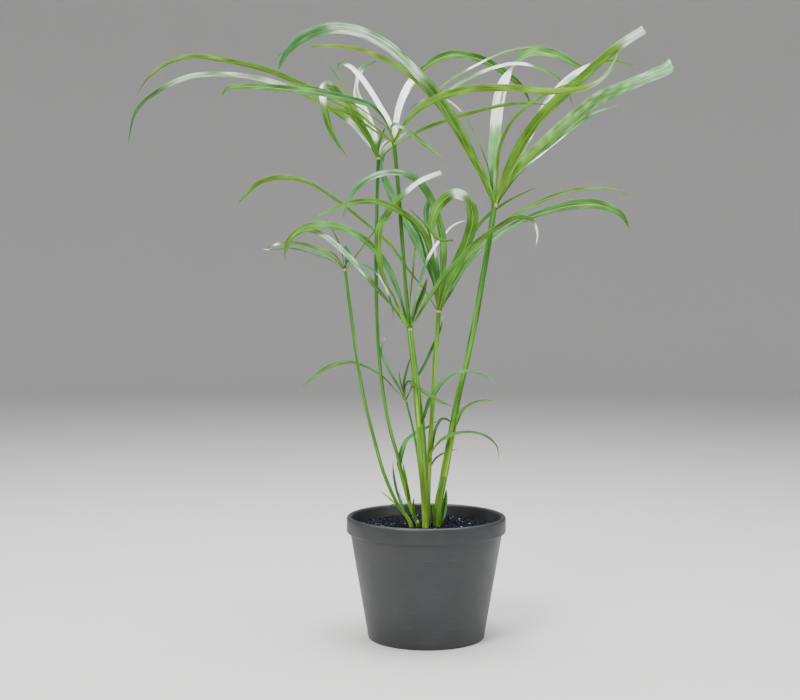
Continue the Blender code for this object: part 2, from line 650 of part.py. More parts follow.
def make_gravel(sockets, home):
    """The fill, gently uneven on top, with a socket for each stem."""
    floor = POT_FLOOR + GAP
    top_radius = inner_radius(GRAVEL_Z) - WALL_GAP
    profile = [(0, GRAVEL_Z)]
    profile += [(top_radius * share, GRAVEL_Z) for share in GRAVEL_RING_SHARES]
    profile += [(inner_radius(z) - WALL_GAP, z) for z in (POT_RIM_FOOT, floor)]
    profile += [(0, floor)]
    gravel = as_mesh(turned("gravel", profile, GRAVEL_STEPS, home), home)
    for vertex in gravel.data.vertices:
        if vertex.co.z > GRAVEL_Z - GAP:
            wave = noise.noise(Vector((vertex.co.x, vertex.co.y, 0)) * GRAVEL_RIPPLE_SCALE)
            vertex.co.z += GRAVEL_RIPPLE * (wave - GRAVEL_RIPPLE_DROP)
    for socket in sockets:
        cut = gravel.modifiers.new("socket", "BOOLEAN")
        cut.operation = "DIFFERENCE"
        cut.object = socket
    gravel.data.materials.append(material("gravel", GRAVEL_BLACK, GRAVEL_ROUGHNESS))
    return gravel


def as_cutter(obj):
    obj.hide_render = True
    obj.display_type = "WIRE"
    return obj


def make_shoot(shoot, stem, home, cutters):
    """A stem, its fused small blades and its own whorl of bracts. Returns the socket that it needs."""
    chain, radii = stem_chain(stem)
    stalk = tube("stem_" + shoot, chain, radii, home)
    stalk.data.shade_smooth()
    stalk.data.set_sharp_from_angle(angle=SHARP_ANGLE)
    stalk.data.materials.append(material("stem_" + shoot, stem.colour, PLANT_ROUGHNESS))
    widths = slot_widths(BLADES[shoot], radii[-1] + RING_CLEARANCE)
    number = 0
    for entry in BLADES[shoot]:
        width = entry.width_mm * MM
        slot = math.radians(entry.slot)
        points = blade_points(entry, chain, radii[-1])
        if entry.tier == FUSED:
            piece = blade("fused_blade", points, width, FUSED_ROOT_SHARE, slot, entry.face, cutters)
            as_cutter(piece)
            join = stalk.modifiers.new("blade", "BOOLEAN")
            join.operation = "UNION"
            join.object = piece
            continue
        number += 1
        root = INNER_ROOT if entry.tier == INNER else widths[entry.slot]
        share = min(1.0, root / width)
        piece = blade(f"bract_{shoot}_{number}", points, width, share, slot, entry.face, home)
        colour = TEAL if entry.face == UPPER else LIME
        piece.data.materials.append(material(piece.name, colour, PLANT_ROUGHNESS))
    socket = [chain[0] - Vector((0, 0, GAP))] + chain[1:]
    wide = [r + GAP for r in radii]
    return as_cutter(tube("socket_" + shoot, socket, wide, cutters))


def main():
    for obj in list(bpy.data.objects):
        bpy.data.objects.remove(obj)
    home = collection("potted_umbrella_sedge")
    cutters = collection("cutters")
    make_pot(home)
    sockets = [make_shoot(shoot, stem, home, cutters) for shoot, stem in STEMS.items()]
    make_gravel(sockets, home)


main()
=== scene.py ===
"""Looks of the potted umbrella sedge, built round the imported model: bracts, stems, gravel and pot."""
import math
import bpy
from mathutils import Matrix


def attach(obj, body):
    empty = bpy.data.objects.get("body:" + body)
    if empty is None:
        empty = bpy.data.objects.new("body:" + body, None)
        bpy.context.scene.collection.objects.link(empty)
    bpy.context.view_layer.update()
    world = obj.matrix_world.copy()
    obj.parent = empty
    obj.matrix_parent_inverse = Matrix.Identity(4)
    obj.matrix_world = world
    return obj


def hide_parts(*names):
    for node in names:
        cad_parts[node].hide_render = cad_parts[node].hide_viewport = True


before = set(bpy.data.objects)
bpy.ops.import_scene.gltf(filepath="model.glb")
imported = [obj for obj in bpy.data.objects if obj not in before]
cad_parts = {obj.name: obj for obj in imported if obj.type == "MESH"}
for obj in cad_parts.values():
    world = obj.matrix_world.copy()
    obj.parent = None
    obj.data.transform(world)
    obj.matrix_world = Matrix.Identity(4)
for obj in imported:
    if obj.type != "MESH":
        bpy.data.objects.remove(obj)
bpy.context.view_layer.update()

import zlib
from collections import Counter, namedtuple

import bmesh
import bpy
import numpy as np
from mathutils import Matrix, Vector, noise

MM = 0.001
UP = Vector((0, 0, 1))

# Pot and gravel, as in the part's own source
POT_HEIGHT = 92 * MM
POT_BASE_RADIUS = 44 * MM
POT_TOP_RADIUS = 57 * MM
POT_RIM_RADIUS = 60 * MM
POT_RIM_HEIGHT = 12 * MM
POT_WALL = 2.4 * MM
POT_FLOOR = 3 * MM
GRAVEL_Z = 84 * MM
STEM_DEPTH_IN_GRAVEL = 17 * MM
GAP = 0.3 * MM

# The pot's inner shape and soft edges
RIM_FOOT = POT_HEIGHT - POT_RIM_HEIGHT
RIM_INNER_RADIUS = POT_RIM_RADIUS - POT_WALL * 1.6
FLOOR_RADIUS = POT_BASE_RADIUS - POT_WALL
SHOULDER_RADIUS = POT_TOP_RADIUS - POT_WALL
FLOOR_FILLET = 2 * MM
RIM_EDGE = 1 * MM
RIM_STEP = 0.4 * MM
BASE_EDGE = 1.2 * MM
POT_SIDES = 160
FILL_SIDES = 64
JOINT_SIDES = 28
ROLL_STEPS = 10
SHARP_FROM = math.radians(40)

# The front view that the routes are measured in
VIEW_CENTRE = (400, 350)
VIEW_FOCAL = 1750
VIEW_DISTANCE = 1050 * MM
PLANT_AXIS_PX = 433
GRAVEL_LINE_PX = 654
PIXEL = VIEW_DISTANCE / VIEW_FOCAL
EYE = Vector(((VIEW_CENTRE[0] - PLANT_AXIS_PX) * PIXEL, -VIEW_DISTANCE,
              GRAVEL_Z + (GRAVEL_LINE_PX - VIEW_CENTRE[1]) * PIXEL))
LENS = 63
SENSOR = 36
TILT_DOWN = 2.7

# Blades: their routes, as in the part's own source
BLADE_FOLD = 0.22
SEGMENT_LENGTH = 17 * MM
FEWEST_SEGMENTS = 6
MOST_SEGMENTS = 14
BEND_LENGTH = 20 * MM
FINE_STEPS = 12
FULL_WIDTH_AT = 0.3
TAPER_POWER = 2.2
SHOWN_WIDTH = 0.8
TURN_IN_BY = 0.22
COLLAR_DROP = 1.5 * MM
RING_CLEARANCE = 1.15 * MM
INNER_RISE = 0.6 * MM
INNER_SHARE = 0.5

# Blades: places across from edge to edge at which a section has points, and the section's shape in shares
# of its thickness
ACROSS = (-1, -0.9, -0.7, -0.45, -0.22, -0.08, 0, 0.08, 0.22, 0.45, 0.7, 0.9, 1)
BLADE_STEP = 1.6 * MM
BLADE_THICKNESS = 0.34 * MM
THICKNESS_SHARE = 0.16
THINNEST = 0.25
FULL_THICKNESS_AT = 4
EDGE_THICKNESS = 0.3
RIB_THICKNESS = 0.5
RIB_REACH = 0.12
GROOVE_DEPTH = 0.12
GROOVE_REACH = 0.06
ABOVE_MIDDLE = 0.4
FOLD_POWER = 1.15

# Blades: how their outline, fold, ripple, twist and tone wander along them
ROOT_SHARE = 0.5
ROOT_END = 0.4
FOLD_AT_ROOT = 1.5
FOLD_AT_TIP = 0.55
RIPPLE = 0.09
RIPPLE_LENGTH = 22 * MM
TWIST = 0.12
TWIST_LENGTH = 40 * MM
EDGE_WANDER = 0.05
EDGE_LENGTH = 30 * MM
CLASP_SHARE = 0.5
TORN_BY = 1.6 * MM
DRY_STEEPNESS = 1.4
WARMTH = 0.10
WARMTH_STRIDE = 0.31
GLOW = 0.14
GLOWS = 5
TORN_STRIDE = 0.9
WAVE_STRIDE = 1.37
TWIST_WAVE, EDGE_WAVE, WARMTH_WAVE, GLOW_WAVE, TORN_WAVE = 3, 5, 7, 23, 31
RIPPLE_WAVES = (11, 17)

# Colour bands across a piece, how they are streaked at random, and the pale stretch of painted highlight on
# a wet face
BAND_WIDTH = 1.8 * MM
MOST_BANDS = 4
STEM_BANDS = 5
STREAK = 1.5
STREAK_LENGTH = 12 * MM
STEM_STRETCH = 2
HIGHLIGHT_EDGE = 0.08
HIGHLIGHT_STREAK = 0.9
NO_HIGHLIGHT = (0, 0, 0)
STREAK_WAVE, HIGHLIGHT_WAVE, BACK_WAVE = 41, 53, 67

# Stems, and the leaf bases that wrap them
STEM_SIDES = 36
STEM_STEP = 3 * MM
FEWEST_STEM_STEPS = 8
CORNERS = 3
CORNER_SWELL = 0.035
BROAD_RIBS = 12
RIB_SWELL = 0.012
STEM_GLOW = 0.10
STEM_GLOWS = 9
SHEATH_STEP = 1.5 * MM
MOUTH_SLANT = 4 * MM
MOUTH_FROM = 0.4
SWOLLEN_BY = 0.15
SWELL_WANDER = 0.25
SWELL_TURN = 3
RIM_FROM = 0.86
RIM_DROP = 0.2 * MM
RIM_SHARE = 0.9

# Grains of the gravel
GRAIN_SPACING = 1.4 * MM
GRAIN_RADIUS = 0.84 * MM
ROW_SHARE = 0.87
GRAIN_JITTER = 0.3
UPPER_LAYER_SHARE = 0.45
LAYER_HEIGHT = 0.75 * MM
FILL_DROP = 1.2 * MM
GRAIN_DROP = 0.9 * MM
GRAIN_WANDER = 0.35
BED_RIPPLE = 0.8 * MM
RIPPLES_A_METRE = 70
RIPPLE_MIDDLE = 0.3
STEM_CLEARANCE = GRAIN_RADIUS * 0.75
WALL_CLEARANCE = GRAIN_RADIUS * 1.2
FILL_CLEARANCE = GAP * 1.5
GRAIN_SIZES = (0.7, 1.15)
GRAIN_DENTS = (0.78, 1.12)
GRAIN_SHADES = (0.5, 1.6)
SEED = 5733

# Linear colours of the plant by letter, each with how far a painted white highlight covers it: apple, sap,
# lime, fern, green, dark, olive, teal, mint, hoar, white, cream, yellow, brown and red. White is the glare
# of the light on a wet face painted in as colour, and mint and hoar carry a little of that painted
# highlight.
COLOURS = {
    "a": (0.290, 0.440, 0.085, 0.0),
    "s": (0.205, 0.365, 0.036, 0.0),
    "l": (0.110, 0.255, 0.030, 0.0),
    "f": (0.056, 0.178, 0.026, 0.0),
    "g": (0.029, 0.122, 0.025, 0.0),
    "d": (0.012, 0.056, 0.013, 0.0),
    "o": (0.070, 0.134, 0.013, 0.0),
    "t": (0.024, 0.132, 0.056, 0.0),
    "m": (0.060, 0.222, 0.096, 0.08),
    "h": (0.200, 0.500, 0.200, 0.08),
    "w": (0.420, 0.600, 0.450, 0.97),
    "c": (0.560, 0.500, 0.250, 0.0),
    "y": (0.260, 0.190, 0.064, 0.0),
    "b": (0.045, 0.030, 0.012, 0.0),
    "r": (0.145, 0.026, 0.018, 0.0),
}

# Linear colours of the finishes' own marks
GUTTER_SHADE = (0.42, 0.52, 0.42)
BROAD_SHADE = (0.42, 0.60, 0.50)
VEIN_TONE = (0.31, 0.40, 0.04)
BLOTCH_TONE = (0.13, 0.21, 0.022)
MIDRIB_TONE = (0.33, 0.41, 0.05)
EDGE_GLARE_TONE = (0.20, 0.36, 0.12)
# Painted highlight: the white that the glare of the light is painted as
PAINTED_GLARE_TONE = (0.92, 0.98, 0.92)
STEM_RIB_SHADE = (0.55, 0.68, 0.6)
STEM_MOTTLE_TONE = (0.16, 0.29, 0.035)
FLECK_TONE = (0.12, 0.06, 0.02)
SPECKLE_TONE = (0.006, 0.012, 0.026)
POT_TONE = (0.020, 0.021, 0.023)
DUST_TONE = (0.036, 0.037, 0.040)
SCUFF_TONE = (0.085, 0.086, 0.088)
POT_TINT = (0.02, 0.02, 0.02, 0)
FILL_TINT = (0.004, 0.005, 0.008, 0)
FLOOR_TONE = (0.66, 0.66, 0.655, 1)
FLOOR_ROUGHNESS = 0.7
SKY_TONE = (0.95, 0.97, 1.0, 1)
SKY_STRENGTH = 0.32
FLESH = (0.6, 1.0, 0.1)

# Grains by the share of them up to which a colour is drawn: near-black, then blue, white and pinkish painted
# glints
GRAIN_TONES_AND_GLINTS = [
    (0.86, (0.0014, 0.0022, 0.0045)),
    (0.975, (0.007, 0.022, 0.060)),
    (0.993, (0.17, 0.22, 0.29)),
    (1.0, (0.16, 0.09, 0.08)),
]

# The factor and the two colours of a colour mix, by socket number
MIX_SOCKETS = (0, 6, 7)

# Waves across a bract's width for its veins, and round a stem for its ribs
VEINS = 17
STEM_RIBS = 24

OUTER, INNER, FUSED, THREAD = "outer", "inner", "fused", "thread"
UPPER, UNDER = 1, -1

# A stem has its route, its depths and radii in millimetres at even steps, its tones and its pale collar.
# A blade's form is how much fuller it looks than its plain solid, the share of its width that is left at a
# blunt or torn tip, by how much it is narrower before a share of its length and where it has widened, the
# share at which it is pinched with by how much and over what share, the colour and share of its dried tip,
# the share from which it tapers, and its pale stretch, where the glare of the light is painted in as white:
# from which share to which, and how pale it is.
Stem = namedtuple("Stem", "route depths radii_mm tones collar")
Form = namedtuple("Form", "fuller blunt late pinch dry taper pale",
                  defaults=(1.18, 0, (0, 0, 1), (0, 0, 1), ("y", 0.025), 0.6, NO_HIGHLIGHT))
Blade = namedtuple("Blade", "tier slot width_mm face depths tones route form", defaults=(Form(),))

# Routes are x,y pixels of the front view and depths are millimetres behind the pot's axis. A piece's tones
# are the colour letters of its root and its tip. A collar has the way that its middle faces, how far it
# reaches to each side, and the last row of the stem's joint that it reaches up to.
STEMS = {
    "far_left_short": Stem(
        "414,654 396,625 380,588 369,550 357,503 347,449 339,390 331,330", (-1, 1, 5), (1.35, 1.3, 1.1),
        "lf", (-90, 180, 4)),
    "left_tall": Stem(
        "423,654 415,635 406,603 398,570 388,534 379,487 374,445 371,390 370,330 371,262 373,192",
        (0, 4, 9, 14), (1.5, 1.35, 1.3, 1.3), "lg", (-90, 180, 4)),
    "middle_tall": Stem(
        "433,654 430,540 419,450 408,365 402,285 397,220 392.5,173", (8, 5, -3, -8, -11, -22),
        (1.5, 1.45, 1.4, 1.5), "lf", (-30, 60, 4)),
    "left_short": Stem(
        "432,654 430,611 426,560 422.5,510 418,459 412,404", (-5, -11, -18), (2.5, 2.3, 2.2), "sl",
        (-75, 48, 4)),
    "middle_short": Stem(
        "435,654 435,617 437,565 440,518 443.5,455 448.4,382", (1, 0, 0), (1.95, 1.85, 1.75), "sl",
        (-90, 180, 4)),
    "right_tall": Stem(
        "447,654 448,633 455,592 464,541 473,491 483,449 494,396 503,344 511,297 518,251", (0, 1, 2),
        (3.3, 2.7, 2.3, 2.15, 2.1), "lf", (-38, 60, 8)),
    "little": Stem(
        "429,654 427,610 421,558 416,530 407,494", (12, 8, 0), (0.9, 0.85, 0.8), "ff", (-90, 180, 4)),
}

# Bracts, leaflets and dead threads by shoot, in order round the whorl. Each has its tier, its slot in
# degrees round the stem (0 is +X, 90 is away), its width in millimetres, the face that the front view sees,
# its depths (one for each route point, or at even steps after the root), its tones, its route and its form.
BLADES = {}
BLADES["far_left_short"] = [
    # This leaflet's tip is painted highlight: its dry colour is the white glare tone, and its pale stretch
    # whitens it
    (FUSED, 190, 1.3, UPPER, (1, 0, 0), "tt", "331,330 314,321 297,315 280,309 266,306 245,307 228,307",
     Form(1.2, dry=("w", 0.1), pale=(0.9, 1.1, 1))),
    (FUSED, 165, 1.9, UPPER, (7, 7, 7), "ff", "331,330 320,321 301,310 285,302 268,299 250,300 231,305",
     Form(1.4, dry=("r", 0.17), taper=0.72, pale=(0.8, 1.1, 0.9))),
    (FUSED, 140, 1.6, UPPER, (14, 18), "fl", "331,328 318,314 301,306 287,303 268,305"),
    (FUSED, 120, 1.1, UNDER, (4, 2), "go", "331,330 326,306 318,287 306,266"),
    (FUSED, 330, 1.3, UNDER, (-12, -18, -18), "og", "333,328 352,306 363,291 377,276 392,265"),
    (FUSED, 320, 2.1, UPPER, (-4, -10, -14, -16), "tg",
     "332,330 341,327 352,326 364,331 375,342 386,365 393,395", Form(0.85, pale=(0.4, 0.75, 0.8))),
    (FUSED, 90, 2.3, UNDER, (8,), "tt", "332,329 335,315 331,303", Form(2.2, 0.7)),
    (FUSED, 0, 1.5, UPPER, (-3, -4), "mm", "405,642 401,625 396,611 393,598 390.5,573", Form(1.7)),
    (FUSED, 200, 1.3, UPPER, (-2, -3), "ls", "396,625 386,619 375,610", Form(1.5)),
    (THREAD, 220, 1.2, UNDER, (-3, -3), "gg", "397,626 391,627 386,631 384,637", Form(1)),
]
BLADES["left_tall"] = [
    (OUTER, 205, 4.2, UNDER, (6, 0, -6), "fl", "371,190 357,171 340,151 325,140 306,128 290,121",
     Form(pale=(0.1, 0.6, 0.55))),
    (OUTER, 255, 5.2, UNDER, (11, 5, -2, -8, -14, -22, -40, -50, -50, -48, -46), "ff",
     "372,190 363,173 351,154 339,137 326,119 315,106.5 305.5,109 307,132 313,155 322,174 335.5,193",
     Form(1.3, pale=(0.45, 0.75, 0.6))),
    (OUTER, 100, 5.0, UPPER, (22, 32, 40), "ft",
     "373,188 366,163 357,140 349,124 345.5,108 348,94 354,82 369,75",
     Form(1.3, 0.35, pinch=(0.71, 0.6, 0.09), pale=(0.1, 0.9, 0.5))),
    (OUTER, 55, 2.5, UNDER, (20,), "og", "373,188 374,177 377,168 382,155"),
    (OUTER, 150, 1.3, UNDER, (14, 16, 18), "ll", "373,188 358,158 340,124 321,92 302,64.5", Form(1.6)),
    (OUTER, 320, 3.0, UNDER, (6, 0, -8, -14), "ll",
     "374,190 397,177 424,161 458,147 496,136 540,127 575,127 600,132",
     Form(1.1, dry=("y", 0.04), pale=(0.9, 1.1, 0.8))),
    (OUTER, 10, 1.8, UPPER, (12,), "hh", "374,187 378,178 385,170", Form(pale=(-0.1, 1.1, 0.9))),
    (FUSED, 90, 2.4, UPPER, (10, 12, 8), "gt", "400,577 403,560 408,547 420,537 434,530 449,520",
     Form(1.3, late=(-0.6, 0.2, 0.5))),
    (FUSED, 0, 1.5, UPPER, (-2, -3), "fl", "413,630 409,606 403,572", Form(1.6)),
    (THREAD, 180, 0.6, UPPER, (-2, -3), "gg", "413,634 408,626 402,618 397,610", Form(1)),
    (THREAD, 190, 0.5, UPPER, (-3, -5), "gg", "413,634 409,629 404,625 400,617", Form(1)),
    (THREAD, 0, 2.2, UPPER, (-3, -4), "lg", "421,652 418,640 416.5,629 417.5,617", Form(1)),
    (THREAD, 340, 1.8, UPPER, (-4, -5), "cy", "419,651 422,648 425,655", Form(1)),
]
BLADES["middle_tall"] = [
    (OUTER, 225, 4.2, UPPER, (-44, -60, -62, -62), "tg",
     "391,168 381,148 363,130 340,122 308,115 254,108.5 204,106 187,108 176,121", Form(1.4, taper=0.8)),
    (OUTER, 195, 3.2, UNDER, (-33, -34, -37, -40), "ll",
     "390,168 367,155 340,135 310,119 278,103 230,84 179,73 143,69 112,77 88,95 72,117", Form(1.45)),
    (OUTER, 165, 3.6, UNDER, (-25, -26, -28, -30), "lt",
     "390,171 367,160 340,142 305,127 268,109 230,97 179,90.5 137,94 102,110 75,132 61,180",
     Form(1.3, pale=(0.3, 0.8, 0.45))),
    (INNER, 210, 1.2, UNDER, (-42, -51, -52, -50), "fl",
     "391,166 384,157 367,144 345,129 318,114 284,105 255,104 217,104.6 190,117"),
    (OUTER, 125, 3.6, UPPER, (-14, -8, -4), "tg",
     "391,166 387,153 375,131 363,111 349,92 336,80 326,77 320,87", Form(1.35, pale=(0.1, 0.9, 1))),
    (OUTER, 80, 5.4, UPPER, (-12, 6, 22, 34, 38), "gg",
     "394,166 396,150 402,126 414,102 434,80 463,67 495,71 529,88 552,108 564.5,133",
     Form(1.45, pinch=(0.37, 0.42, 0.06), pale=(-0.1, 0.35, 0.9))),
    (OUTER, 305, 5.4, UNDER, (-54, -63, -64, -62, -56), "ls",
     "393,169 409,150 426,134 443,122.5 483,110 529,107.6 596,112 631,107 652,95 666,76 675.4,46.5",
     Form(taper=0.5, pale=(0.75, 0.95, 0.3))),
    (INNER, 60, 1.5, UPPER, (-13, -8, -6, -4), "fl",
     "394,165 413,141 436,119 460,99 495,79 529,63 560,57 588.5,59",
     Form(dry=("y", 0.1), pale=(0.5, 0.7, 0.6))),
    (OUTER, 15, 3.0, UPPER, (-25, -10, 2, 9, 13), "mf",
     "394,167 405,152 425,133 449,117 483,97 518,82 550,77.5 582,87 602,101 617,137",
     Form(0.95, pale=(0.45, 0.75, 0.7))),
    (OUTER, 265, 3.4, UPPER, (-24, -36, -46, -54, -60, -65, -69), "mf",
     "392,171 388,157 394,152 409,160 428,175 444,188 460,199",
     Form(0.9, late=(0.82, 0.14, 0.38), pale=(0.3, 0.5, 0.3))),
]
BLADES["left_short"] = [
    (OUTER, 200, 4.2, UPPER, (-22, -15, -2, 16), "gf",
     "411,402 392,382 371,357 350,331 327,308 303,289 283,283 266,293 258,313",
     Form(pale=(0.3, 0.75, 0.35))),
    (OUTER, 165, 4.2, UPPER, (-14, -8, -6, -6), "mf",
     "411,399 402,378 392,348 377,319 356,296 329,281 304,277 278,281 261,296 256,325", Form(1.5)),
    (OUTER, 240, 4.2, UPPER, (-19, -28, -31, -29, -24, -21, -27, -34, -36), "ff",
     "410,398 394,368 380,340 374,306 375,281 388,258 407,237 428,221 451,212.5",
     Form(1.45, 0.72, pale=(0.75, 1.1, 0.6))),
    (INNER, 100, 1.5, UNDER, (-21, -26, -27), "ff", "413,401 413,369 416,338 419,306 424,277"),
    (OUTER, 85, 2.2, UPPER, (-19, -17, -10, -2), "mm",
     "414,399 421,366 429,335 439,311 452,293 468,276 484,270", Form(pale=(0.5, 1.1, 0.8))),
    (OUTER, 25, 3.0, UNDER, (-15, -11), "ff", "414,400 421,382 430,359 434,342", Form(1.55)),
    (OUTER, 315, 4.0, UNDER, (-28, -33, -34, -32), "ff",
     "415,401 441,362 458,337 476,319 494,300 520,281 549,267 564,270 571,287 569,305",
     Form(pale=(0.85, 1.1, 1))),
    (FUSED, 0, 3.0, UPPER, (-8, -12, -14), "gm",
     "426,530 433,512 441,492 452,475 466,463 484,459 505,464 528,484", Form(0.9, late=(-1.5, 0.2, 0.55))),
]
BLADES["middle_short"] = [
    (OUTER, 130, 5.4, UPPER, (11, 19, 26, 31, 34), "mm",
     "448,378 445,359 436,330 424,306 405,270 386,233 377,206 379,187 391,174 412,159",
     Form(1.4, pinch=(0.765, 0.55, 0.05), pale=(0.8, 1.1, 0.7))),
    (OUTER, 158, 4.8, UNDER, (22, 36, 44, 50, 50), "fl",
     "447,378 434,363 411,334 386,300 352,270 314,241 280,222 251,218 228,223 210,237 195,255",
     Form(1.35, late=(0.57, 0.62, 0.88), taper=0.7)),
    (OUTER, 210, 4.2, UPPER, (-8, -19, -31, -34, -34), "ff",
     "447,378 444,348 438,317 430,289 419,275 398,259 369,248 343,249 318,257 282,272",
     Form(1.35, taper=0.55)),
    (OUTER, 185, 2.0, UPPER, (-1, -13, -19, -20), "tt",
     "447,374 440,345 432,316 422,286 408,266 388,253 366,248 344,244"),
    (OUTER, 240, 5.2, UNDER, (-17, -24, -28, -38, -46), "fm",
     "449,376 451,343 453,315 452,290 445,263 434,238 418,219 397,212 369,216 345,232 327,270",
     Form(1.3, pale=(0.6, 0.85, 0.4))),
    (OUTER, 275, 6.0, UNDER, (-4, -7, -10, -13, -17, -23, -31, -38, -43, -46, -47, -46), "ff",
     "450,376 456,358 469,331 484,297 491,268 486,248 469,238 453,247 442,264 440,283 449,295 465,296",
     Form(1.4, 0.2, pinch=(0.56, 0.55, 0.022), pale=(0.55, 0.7, 0.8))),
    (OUTER, 95, 3.0, UPPER, (6, 8, 9), "mm", "448,376 446,343 440,306 434,280 432,258 440,236",
     Form(1.9, taper=0.85, pale=(0.4, 0.75, 0.6))),
    (INNER, 150, 1.2, UNDER, (0, -1, -5), "ll", "448,374 445,345 440,308 433,279 419,264 404.5,249",
     Form(1.8)),
    (OUTER, 60, 2.4, UNDER, (8, 17, 21, 23), "ff", "450,376 469,331 487,296 505,269 530,250 571,229"),
    (OUTER, 320, 3.0, UPPER, (3, 11, 13, 13, 11), "ff",
     "451,376 476,334 500,300 525,277 564,253 604,237 640,231 668,233 693,243"),
    (OUTER, 15, 5.4, UPPER, (17, 30, 40, 48, 54), "mg",
     "451,377 464,362 483,329 506,303 540,278 584,260 622,252 652,253 674,263 687,282",
     Form(1.9, late=(0.54, 0.5, 0.78), taper=0.74)),
    (FUSED, 20, 2.4, UNDER, (1, 2, 5), "tm", "437,574 442,552 447,527 453,519 461,521 466,530"),
    (FUSED, 270, 2.4, UPPER, (-5, -8, -9, -9), "ft",
     "436,574 441,560 452,547 469,538 491,536 510,542 521,553 524.4,571",
     Form(0.95, late=(-1.4, 0.25, 0.55))),
    (FUSED, 40, 1.2, UPPER, (5, 8), "gf", "438,580 446,568 457,561.5 473,557", Form(1.6)),
]
BLADES["right_tall"] = [
    (OUTER, 225, 8.0, UNDER, (-22, -48, -75, -104, -115), "lm",
     "516,247 508,229 490,195 466,150 440,111 414,83 381,54 345,38 308,36 279,47 260,64 246,90",
     Form(1.2, taper=0.8, pale=(0.4, 0.85, 0.4))),
    (OUTER, 195, 2.4, UNDER, (-8, -26, -48, -74, -90), "ls",
     "515,248 503,224 480,182 460,147 437,117 410,90 377,70 339,58 308,55.5 277,57.5",
     Form(1.6, taper=0.75)),
    (INNER, 200, 1.8, UNDER, (-12, -36, -62, -88, -100), "gf",
     "516,245 505,215 480,165 441,106 400,64 350,38 310,32 283,39 260,58 234,84"),
    (INNER, 130, 1.5, UNDER, (8, 12, 15, 15), "lm",
     "516,244 511,212 496,171 478,139 460,123.5 441,119 420,127 402,144", Form(pale=(0.55, 0.9, 0.9))),
    (OUTER, 105, 7.0, UPPER, (11, 18, 24, 25, 26), "hg",
     "517,247 516,222 519,180 521,148 524,122 530,100 541,80 557,65 590,66 620,80 645,95",
     Form(1.55, pinch=(0.605, 0.78, 0.055), pale=(0.3, 0.62, 0.9))),
    (OUTER, 325, 7.0, UNDER, (-10, -18, -27, -35, -44), "ll",
     "520,247 539,201 563,159 593,125 625,97 659,66 682,49 703,36",
     Form(1.3, 0.85, pale=(0.85, 1.1, 0.6))),
    (OUTER, 15, 5.2, UPPER, (7, 3, -2, -5, -6), "lg",
     "520,246 534,221 551,187 568,155 584,124 608,97 637,80 664,75 695,82",
     Form(1.0, pale=(0.3, 0.85, 0.75))),
    (OUTER, 45, 9.0, UNDER, (20, 48, 82, 116, 142, 146), "lh",
     "519,248 545,212 581,177 617,145 645,123 687,104 716,92 735,83 738,80",
     Form(1.35, 1.1, pale=(0.8, 1.1, 0.35))),
    (OUTER, 72, 3.6, UPPER, (32, 70, 100, 114), "fm", "519,247 545,216 580,184 615,157 645,137 671,128.5",
     Form(pale=(0.3, 0.7, 0.6))),
    (OUTER, 280, 2.4, UNDER, (-14, -26, -36, -42), "ll",
     "519,247 521,220 525,178 539,149 563,126 593,109 631,95"),
    (FUSED, 350, 3.0, UPPER, (-3, -5, -6), "fg", "464,545 471,524 478,509 490,500 505,496 521,497",
     Form(0.75, late=(-1.3, 0.3, 0.6))),
    (FUSED, 10, 2.6, UPPER, (1, 1), "mg", "450,656 455,642 457.5,626 458.5,607", Form(1.6)),
    (THREAD, 200, 1.6, UPPER, (-5, -4), "bg", "446,656 442,642 441,630 440,622", Form(1)),
]
BLADES["little"] = [
    (FUSED, 180, 2.7, UPPER, (9, 12, 10, 6), "gg",
     "406,493 394,483 379,467 360,455 335,448 313,453 293,466 276,479",
     Form(1.4, late=(0.45, 0.45, 0.7), taper=0.75)),
    (FUSED, 150, 2.3, UPPER, (5, 9, 9), "gm", "407,492 396,476 384,454 376,433 382,415",
     Form(pale=(0.9, 1.1, 0.6))),
    (FUSED, 120, 1.1, UNDER, (1,), "gd", "407,492 401,475 398,457"),
    (FUSED, 270, 1.5, UNDER, (-7, -14, -20), "gd", "407,493 404.5,477 408,459 414,439"),
    (FUSED, 40, 2.4, UNDER, (2, 6, 8), "gt", "408,492 416,477 428,456 441,429 452,402 454,389",
     Form(pale=(0.9, 1.1, 0.6))),
    (FUSED, 290, 2.7, UPPER, (0, -9, -18, -25, -29, -32, -33), "gg",
     "407,493 407,479 412,473 421,479 436,489 452,498 468,504", Form(1.28)),
]

# Tones of the side that the front view doesn't see, by the face that it does see
BACK_TONES = {UPPER: "lg", UNDER: "gf"}

# Leaf bases that wrap the stems: shoot, lowest and highest pixel row, the slot that the mouth rises to,
# how far they stand off the stem in millimetres, how red the rim is, and their tones
SHEATHS = [
    ("right_tall", 657, 614, 150, 0.28, 0.4, "ol"),
    ("right_tall", 596, 512, 350, 0.28, 0.4, "sl"),
    ("middle_short", 657, 566, 20, 0.25, 0.3, "aa"),
    ("left_short", 657, 522, 0, 0.1, 0.0, "sl"),
    ("left_tall", 640, 570, 90, 0.2, 0.4, "sl"),
    ("far_left_short", 657, 624, 200, 0.2, 0.3, "sl"),
]

# The joint at a stem's top, from below: (radius as a share of the stem's, height in millimetres) and the
# colour of each row
JOINT = [(0, -2.6), (0.9, -2.5), (1.06, -1.9), (1.12, -1.6), (1.14, -0.8), (1.10, -0.6), (1.14, -0.4),
         (1.18, 0.0), (1.12, 0.6), (0.8, 1.4), (0, 1.8)]
JOINT_LOOKS = "fffffoffgdd"
FIRST_COLLAR_ROW = 2


def view_point(px, py, depth_mm):
    """The place in the object's frame that the front view shows at a pixel, at a depth behind the axis."""
    depth = depth_mm * MM
    scale = (VIEW_DISTANCE + depth) / VIEW_FOCAL
    return Vector((EYE.x + (px - VIEW_CENTRE[0]) * scale, depth, EYE.z - (py - VIEW_CENTRE[1]) * scale))


